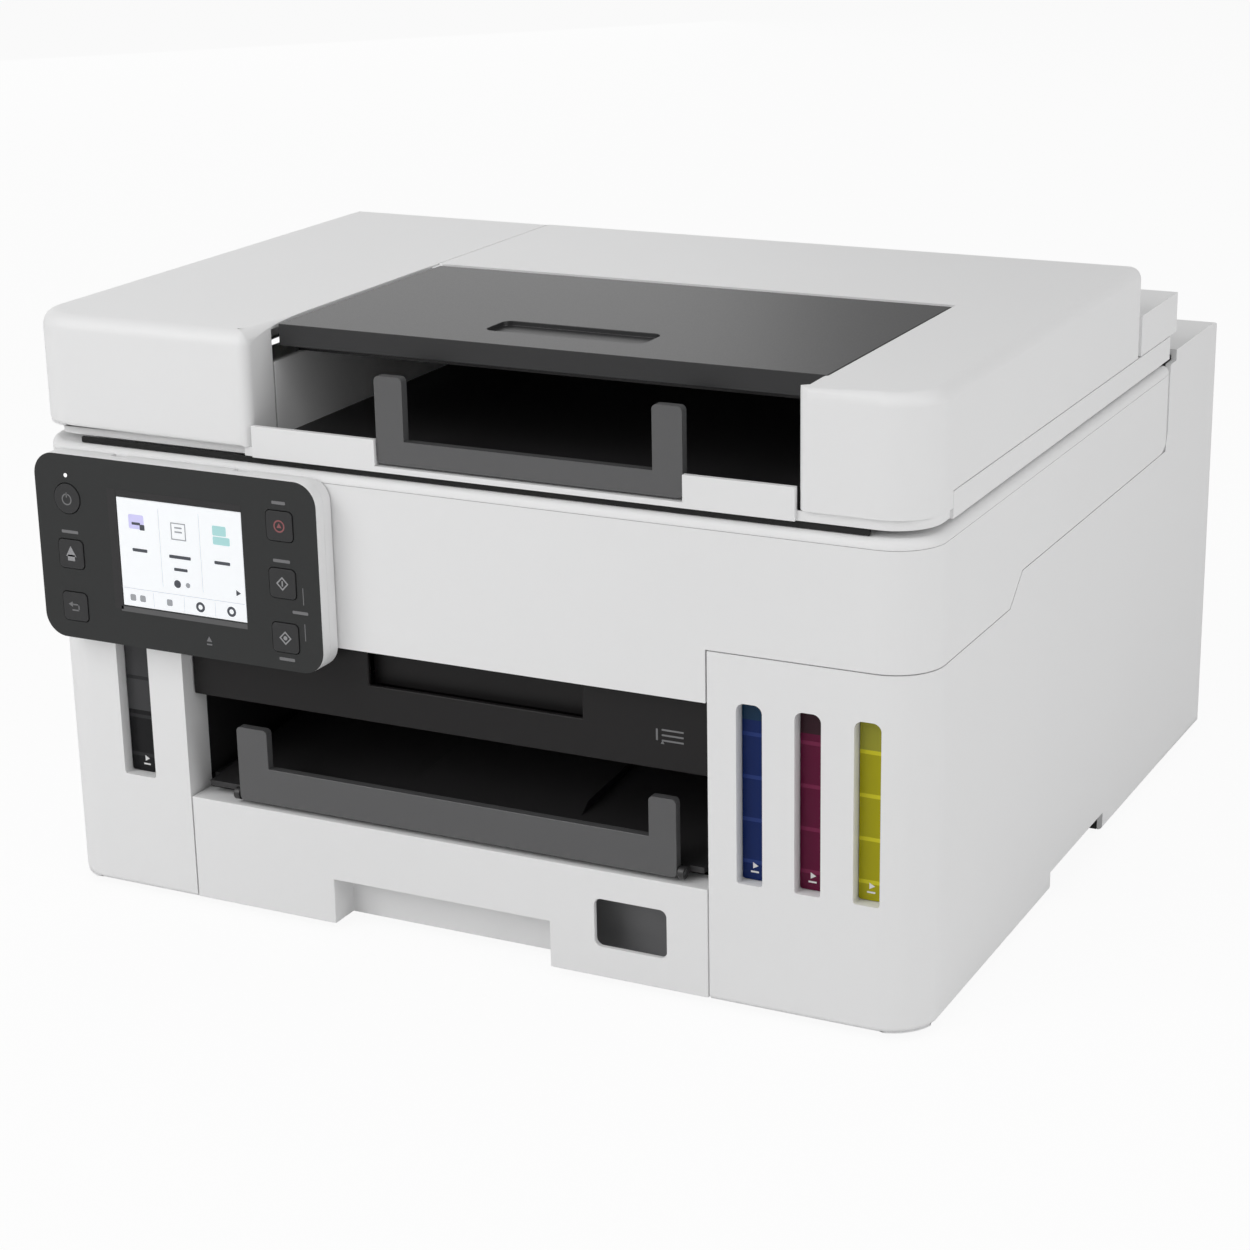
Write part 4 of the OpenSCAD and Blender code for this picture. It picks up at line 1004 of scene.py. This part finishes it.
@dataclass
class Inks:
    """The four ink tanks, their caps, and the marks in the windows."""

    cyan_x: float = 128.8
    pitch: float = 24.1
    black_x: float = -157.0
    mark_z: float = 60.0
    face_y: float = -187.7

    def build(self) -> None:
        """Dresses the tanks and caps and draws the low level marks."""
        inks = {
            "black": Finish.BLACK_INK,
            "cyan": Finish.CYAN_INK,
            "magenta": Finish.MAGENTA_INK,
            "yellow": Finish.YELLOW_INK,
        }
        for ink, finish in inks.items():
            carry(f"ink_tank_{ink}", finish=finish)
        carry(*(f"tank_cap_{ink}" for ink in inks), finish=Finish.DARK)
        marks = Stencil(self.face_y, Finish.PRINT_WHITE, "printer")
        for x in (self.black_x, *(self.cyan_x + i * self.pitch for i in range(3))):
            marks.disc(x, self.mark_z + 1.2, 1.5, 3, -90.0)
            marks.bar(x, self.mark_z - 1.4, 3.4, 0.7, 0.2)
        marks.close("tank_level_marks")


@dataclass
class Paper:
    """The cassette, its guides, the output tray and its support, and the rollers."""

    edge: float = 0.9

    def build(self) -> None:
        """Builds and dresses the paper path."""
        soften("cassette_front", Finish.WHITE, self.edge)
        carry("cassette_tray", "cassette_guide_left", "cassette_guide_right", finish=Finish.GREY)
        soften("output_tray", Finish.CHARCOAL, 0.5)
        soften("output_support", Finish.SMOKE, 1.4)
        carry("feed_roller", "eject_roller", "pickup_roller", "adf_roller", finish=Finish.RUBBER)
        carry("print_carriage", "print_heads", finish=Finish.DARK)


@dataclass
class Scanner:
    """The scanner unit: its housing, bezel, glass and moving light bar."""

    half: float = 199.5
    front: float = -193.0
    back: float = 116.5
    top: float = 200.0

    def build(self) -> None:
        """Builds and dresses the scanner unit."""
        soften("scanner_housing", Finish.WHITE, 0.7)
        rim = Rim(-self.half, self.half, self.front, self.back, self.top)
        soften("scan_bezel", Finish.WHITE, 0.5, [(rim, 3.4, 4)])
        carry("scan_glass", finish=Finish.GLASS)
        # A thin dark bar in the rubber finish just behind the front, under the lid: painted
        # shadow that darkens the gap between lid and scanner. There is no seal there.
        gap_shadow = Stencil(self.front + 2.6, Finish.RUBBER, "scanner", 0.1, 1.2)
        gap_shadow.bar(0.0, self.top + 1.4, 352.0, 2.4, 0.4)
        gap_shadow.close("lid_gap_shadow", "rubber")
        carry("scan_carriage", finish=Finish.DARK)


@dataclass
class Lid:
    """The lid: its base, top cover, feeder cover, tray cover, shelf and stop."""

    half: float = 199.5
    front: float = -193.0
    back: float = 69.0
    top: float = 254.0
    slot_left: float = -90.0
    slot_right: float = 148.0
    floor: float = 207.0
    block_back: float = -172.0

    def top_cover(self) -> None:
        """Rounds the top cover: its inner upright edge, then its upper rim."""
        rim = Rim(-FAR, self.half, self.front, self.back, self.top)

        def block_side(first: Vector, second: Vector) -> bool:
            """The upper inner edge of the front block."""
            return all(
                abs(p.z - self.top) < ON_LEVEL
                and abs(p.x - self.slot_right) < 0.3
                and p.y < self.block_back
                for p in (first, second)
            )

        def upper(first: Vector, second: Vector) -> bool:
            """The rim or the inner edge of the front block."""
            return rim(first, second) or block_side(first, second)

        inner = band(
            (Axis.X, self.slot_right - 0.3, self.slot_right + 0.7),
            (Axis.Y, self.front - ON_PLANE, self.front + ON_PLANE),
        )
        soften("lid_top_cover", Finish.WHITE, 0.7, [(inner, 5.0, 5), (upper, 5.2, 6)])

    def feeder(self) -> None:
        """Rounds the feeder cover all round its front and its upper rim."""
        rim = Rim(-self.half, self.slot_left, self.front, self.back, self.top)
        foot = Rim(-self.half, self.slot_left, self.front, FAR, self.floor)

        def upper(first: Vector, second: Vector) -> bool:
            """The rim without the seam to the top cover."""
            at_seam = all(p.x > self.slot_left - ON_PLANE for p in (first, second))
            return rim(first, second) and not at_seam

        def lower(first: Vector, second: Vector) -> bool:
            """The foot without the return wall."""
            at_wall = all(p.x > self.slot_left - 6.0 for p in (first, second))
            return foot(first, second) and not at_wall

        inner = band(
            (Axis.X, self.slot_left - ON_PLANE, self.slot_left + ON_PLANE),
            (Axis.Y, self.front - ON_PLANE, self.front + ON_PLANE),
        )
        soften(
            "feeder_cover", Finish.WHITE, 0.6, [(inner, 4.6, 5), (upper, 6.4, 6), (lower, 2.2, 4)]
        )

    def base(self) -> None:
        """Softens the lid's base and paints shade on the floor of its slot."""

        def shaded_slot_floor(middle: Vector, normal: Vector) -> bool:
            """The faces of the slot's floor behind its lip, which get painted shade."""
            return (
                self.slot_left - 2.0 < middle.x < self.slot_right + 2.0
                and self.front + 6.0 < middle.y < 60.0
                and self.floor - 0.6 < middle.z < self.floor + 9.0
                and normal.z > 0.5
            )

        # The slot's floor is the same white moulding, in shade under the lid's top; its faces get
        # the dark finish as painted shade.
        soften("lid_base", Finish.WHITE, 0.6, accents=[(shaded_slot_floor, Finish.DARK)])

    def build(self) -> None:
        """Builds and dresses the lid."""
        self.base()
        carry("lid_pad", finish=Finish.FOAM)
        self.top_cover()
        self.feeder()
        soften("tray_cover", Finish.TRAY, 0.7)
        carry("document_shelf", finish=Finish.DARK)
        soften("output_stop", Finish.SMOKE, 1.2)


@dataclass
class Panel:
    """The operation panel: bezel, back, screen, keys and their marks."""

    face: float = -204.5
    glass: float = -204.4
    key_face: float = -205.0
    left_keys: float = -175.0
    right_keys: float = -70.5
    rows: tuple[float, float, float] = (179.5, 155.5, 132.5)
    screen_low: tuple[float, float] = (-150.0, 136.5)
    screen_size: tuple[float, float] = (61.0, 46.5)
    recess: float = 0.08
    flanks: tuple[float, float, float, float] = (-183.5, -62.0, 124.5, 188.0)

    def at(self, u: float, v: float) -> tuple[float, float]:
        """Turns a place on the screen into X and Z.

        Args:
            u: from its left edge, as a share of its width.
            v: from its top edge, as a share of its height.

        Returns:
            X and Z in millimetres.
        """
        x = self.screen_low[0] + u * self.screen_size[0]
        return x, self.screen_low[1] + (1.0 - v) * self.screen_size[1]

    def shell(self) -> None:
        """Softens the bezel and the pale back shell."""

        def flank(middle: Vector, normal: Vector) -> bool:
            """The bezel's side walls behind its front edge."""
            left, right, low, high = self.flanks
            outside = not (left <= middle.x <= right and low <= middle.z <= high)
            return outside and abs(normal.y) < 0.6 and middle.y > self.face + 0.9

        soften("panel_bezel", Finish.BEZEL, 0.8, accents=[(flank, Finish.WHITE)])
        soften("panel_back", Finish.WHITE, 0.8)
        carry("touch_screen", finish=Finish.SCREEN)

    def keys(self) -> None:
        """Softens the keys and sets their fronts back by the marks' thickness."""
        for key in ("power", "home", "back", "stop", "black_start", "color_start"):
            piece = soften(f"{key}_button", Finish.KEY, 0.35)
            for face in Bench.enter(piece, "FACE").faces:
                if face.calc_center_median().y < (self.key_face + 0.5) * MM:
                    face.select_set(True)
            bmesh.update_edit_mesh(piece.data)
            bpy.ops.transform.translate(value=(0.0, self.recess * MM, 0.0))
            bpy.ops.object.mode_set(mode="OBJECT")

    def key_marks(self) -> None:
        """Draws the generic symbols on the keys."""
        top, middle, low = self.rows
        left, right = self.left_keys, self.right_keys
        bar, disc, ring = Stencil.bar, Stencil.disc, Stencil.ring
        marks = {
            "power": (
                Finish.PRINT_GREY,
                (ring, left, top - 0.3, 2.5, 0.55),
                (bar, left, top + 1.6, 0.6, 2.2, 0.2),
            ),
            "home": (
                Finish.PRINT_LIGHT,
                (disc, left, middle + 0.5, 3.0, 3),
                (bar, left, middle - 1.6, 3.6, 2.6, 0.2),
            ),
            "back": (
                Finish.PRINT_GREY,
                (disc, left - 2.0, low + 0.9, 1.4, 3, 90.0),
                (bar, left + 0.4, low + 0.9, 3.2, 0.6),
                (bar, left + 1.8, low - 0.3, 0.6, 3.0),
                (bar, left + 0.2, low - 1.6, 3.8, 0.6),
            ),
            "stop": (
                Finish.PRINT_RED,
                (ring, right, top, 2.6, 0.6),
                (disc, right, top, 1.35, 3),
            ),
            "black_start": (
                Finish.PRINT_LIGHT,
                (ring, right, middle, 2.9, 0.55, 4),
                (bar, right, middle, 0.6, 2.2),
            ),
            "color_start": (
                Finish.PRINT_LIGHT,
                (ring, right, low, 2.9, 0.55, 4),
                (disc, right, low, 0.9, 16),
            ),
        }
        for key, (finish, *shapes) in marks.items():
            body = f"key_{key.removesuffix('_start')}"
            mark = Stencil(self.key_face + self.recess, finish, body)
            for draw, *sizes in shapes:
                draw(mark, *sizes)
            mark.close(f"{key}_mark")

    def prints(self) -> None:
        """Draws the lamp, the plain label bars and the lines between the keys."""
        top, middle, low = self.rows
        left, right = self.left_keys, self.right_keys
        lamp = Stencil(self.face, Finish.LED, "panel")
        lamp.disc(left, 189.5, 0.75, 16)
        lamp.close("power_lamp")
        bars = Stencil(self.face, Finish.PRINT_GREY, "panel")
        bars.bar(left, middle + 9.6, 8.4, 1.3, 0.4)
        bars.bar(right, top + 9.6, 6.4, 1.3, 0.4)
        bars.bar(right, middle + 9.4, 8.0, 1.3, 0.4)
        bars.bar(right + 7.6, (middle + low) / 2, 7.4, 1.3, 0.4)
        bars.bar(right, low - 9.2, 7.4, 1.3, 0.4)
        bars.bar(right + 9.4, middle - 4.4, 0.35, 7.2)
        bars.bar(right + 9.4, low + 3.4, 0.35, 7.2)
        bars.disc(-108.2, 126.6, 1.5, 3, 0.0)
        bars.bar(-108.2, 124.6, 2.6, 0.6, 0.2)
        bars.close("panel_prints", "bezel_plastic")

    def recess_shade_and_highlight(self) -> None:
        """Paints the light in the screen's recess: painted shadow as dark bars along its left and
        top, and a painted highlight as a paler strip on its lower ledge.
        """
        left, low = self.screen_low
        wide, high = self.screen_size
        # Painted shadow: dark bars where the recess walls shade the screen at its left and top.
        recess_shadow = Stencil(self.face, Finish.DARK, "panel")
        recess_shadow.bar(left - 2.4, low + high / 2 + 0.6, 4.2, high + 5.2)
        recess_shadow.bar(left + wide / 2 + 0.2, low + high + 1.8, wide, 2.8)
        recess_shadow.close("screen_recess_painted_shadow")
        # Painted highlight: a flat paler strip where light falls on the recess's lower ledge.
        ledge_highlight = Stencil(self.face, Finish.SMOKE, "panel")
        ledge_highlight.bar(left + wide / 2 - 0.6, low - 1.7, wide + 1.4, 2.2)
        ledge_highlight.close("screen_ledge_painted_highlight")

    def picture(self) -> None:
        """Draws the plain start page: three tiles, page dots and a tool row."""
        rules = Stencil(self.glass, Finish.UI_RULE, "panel", 0.02)
        for u in (0.335, 0.66):
            rules.bar(*self.at(u, 0.42), 0.25, self.screen_size[1] * 0.72)
        rules.bar(*self.at(0.5, 0.835), self.screen_size[0] * 0.98, 0.3)
        for u in (0.25, 0.5, 0.75):
            rules.bar(*self.at(u, 0.92), 0.25, 6.4)
        rules.close("screen_rules")
        dark = Stencil(self.glass, Finish.UI_DARK, "panel", 0.03)
        for u, v, wide, high in (
            (0.165, 0.47, 7.4, 1.4),
            (0.49, 0.485, 10.6, 1.4),
            (0.49, 0.6, 6.6, 1.3),
            (0.83, 0.485, 7.6, 1.4),
        ):
            dark.bar(*self.at(u, v), wide, high, 0.3)
        for u in (0.63, 0.88):
            dark.ring(*self.at(u, 0.92), 2.2, 1.1, 16)
        dark.disc(*self.at(0.455, 0.735), 1.7, 20)
        dark.disc(*self.at(0.94, 0.74), 1.5, 3, -90.0)
        x, z = self.at(0.16, 0.235)
        dark.bar(x - 0.8, z + 0.4, 4.2, 1.1, 0.2)
        dark.bar(x + 2.2, z - 1.0, 2.4, 2.4, 0.3)
        dark.close("screen_dark_marks")
        grey = Stencil(self.glass, Finish.UI_GREY, "panel", 0.025)
        x, z = self.at(0.49, 0.25)
        grey.ring(x, z, 5.2, 0.5, 4, 45.0)
        for rise in (1.6, -0.2):
            grey.bar(x, z + rise, 3.6, 0.7)
        for u in (0.08, 0.16, 0.38):
            grey.bar(*self.at(u, 0.92), 2.8, 2.8, 0.6)
        grey.disc(*self.at(0.54, 0.735), 1.1, 16)
        grey.close("screen_grey_marks")
        violet = Stencil(self.glass, Finish.UI_VIOLET, "panel", 0.02)
        violet.bar(*self.at(0.15, 0.21), 7.6, 6.2, 0.8)
        violet.close("screen_copy_tile")
        green = Stencil(self.glass, Finish.UI_GREEN, "panel", 0.02)
        x, z = self.at(0.82, 0.22)
        green.bar(x, z + 1.2, 6.6, 4.2, 0.5)
        green.bar(x + 0.8, z - 3.0, 8.2, 3.4, 0.5)
        green.close("screen_scan_tile")

    def build(self) -> None:
        """Builds and dresses the panel."""
        self.shell()
        self.keys()
        self.key_marks()
        self.prints()
        self.recess_shade_and_highlight()
        self.picture()


@dataclass
class Studio:
    """The pale floor, the soft lights and the camera."""

    eye: Point = (536.0, -1101.0, 490.0)
    yaw: float = 26.81
    pitch: float = 18.28
    roll: float = -1.06
    lens: float = 80.7
    sensor: float = 36.0
    aim: Point = (0.0, 0.0, 120.0)
    world_strength: float = 0.4
    floor_radius: float = 9000.0
    floor_share: float = 0.93

    def camera(self) -> None:
        """Places the camera at its set view."""
        data = bpy.data.cameras.new("studio_camera")
        data.lens, data.sensor_width = self.lens, self.sensor
        data.clip_start, data.clip_end = 0.05, 60.0
        camera = bpy.data.objects.new("studio_camera", data)
        bpy.context.scene.collection.objects.link(camera)
        yaw, pitch, roll = map(math.radians, (self.yaw, self.pitch, self.roll))
        flat = math.cos(pitch)
        ahead = Vector((-math.sin(yaw) * flat, math.cos(yaw) * flat, -math.sin(pitch)))
        right = Vector((math.cos(yaw), math.sin(yaw), 0.0))
        up = right.cross(ahead)
        turned = right * math.cos(roll) + up * math.sin(roll)
        raised = up * math.cos(roll) - right * math.sin(roll)
        facing = Matrix((turned, raised, -ahead)).transposed().to_4x4()
        camera.matrix_world = Matrix.Translation(metres(self.eye)) @ facing
        bpy.context.scene.camera = camera

    def lamp(self, name: str, place: Point, power: float, size: float) -> None:
        """Adds one soft square lamp.

        Args:
            name: the lamp's name.
            place: where it stands, in millimetres.
            power: its power in watts.
            size: its side in metres.
        """
        data = bpy.data.lights.new(name, "AREA")
        data.energy, data.size, data.shape = power, size, "SQUARE"
        lamp = bpy.data.objects.new(name, data)
        bpy.context.scene.collection.objects.link(lamp)
        lamp.location = metres(place)
        lamp.rotation_mode = "QUATERNION"
        ahead = metres(self.aim) - metres(place)
        lamp.rotation_quaternion = ahead.to_track_quat("-Z", "Y")

    def backdrop(self) -> bpy.types.Material:
        """Makes the floor's material: white to the camera, plain and pale to the light.

        Returns:
            The material.
        """
        material = bpy.data.materials.new("studio_floor")
        material.use_nodes = True
        nodes, links = material.node_tree.nodes, material.node_tree.links
        nodes.remove(nodes["Principled BSDF"])
        lit = nodes.new("ShaderNodeBsdfDiffuse")
        lit.inputs["Color"].default_value = (0.82, 0.82, 0.82, 1.0)
        white = nodes.new("ShaderNodeEmission")
        part = place_math(nodes, "MULTIPLY", None, self.floor_share)
        links.new(seen_mask(material.node_tree), part.inputs[0])
        mix = nodes.new("ShaderNodeMixShader")
        links.new(part.outputs[0], mix.inputs["Fac"])
        links.new(lit.outputs[0], mix.inputs[1])
        links.new(white.outputs[0], mix.inputs[2])
        links.new(mix.outputs[0], nodes["Material Output"].inputs["Surface"])
        return material

    def floor(self) -> None:
        """Lays the floor and sets the world behind it."""
        Stencil.circle(self.floor_radius, 96)
        floor = bpy.context.object
        floor.name = "studio_floor"
        Bench.settle(floor)
        floor.data.materials.append(self.backdrop())
        world = bpy.data.worlds.new("studio_world")
        world.use_nodes = True
        nodes, links = world.node_tree.nodes, world.node_tree.links
        soft = nodes["Background"]
        soft.inputs["Color"].default_value = PURE_WHITE
        soft.inputs["Strength"].default_value = self.world_strength
        white = nodes.new("ShaderNodeBackground")
        white.inputs["Color"].default_value = PURE_WHITE
        white.inputs["Strength"].default_value = 1.0
        mix = nodes.new("ShaderNodeMixShader")
        links.new(seen_mask(world.node_tree), mix.inputs["Fac"])
        links.new(soft.outputs[0], mix.inputs[1])
        links.new(white.outputs[0], mix.inputs[2])
        links.new(mix.outputs[0], nodes["World Output"].inputs["Surface"])
        bpy.context.scene.world = world

    def build(self) -> None:
        """Sets up the whole studio."""
        self.camera()
        self.floor()
        self.lamp("key_lamp", (-900.0, -1600.0, 1300.0), 21.0, 1.6)
        self.lamp("top_lamp", (-300.0, 100.0, 2100.0), 3.0, 1.8)
        self.lamp("side_lamp", (1900.0, -300.0, 900.0), 13.0, 1.4)
        self.lamp("rear_lamp", (-2000.0, 2000.0, 950.0), 12.0, 2.4)
        bpy.context.scene.view_settings.view_transform = "Standard"


def main() -> None:
    """Builds the machine, group by group, and the studio round it."""
    logging.basicConfig(level=logging.INFO, format="%(name)s: %(message)s")
    groups = (Body(), Inks(), Paper(), Scanner(), Lid(), Panel())
    for group in groups:
        group.build()
        log.info("built %s", type(group).__name__)
    Studio().build()


if __name__ == "__main__":
    main()
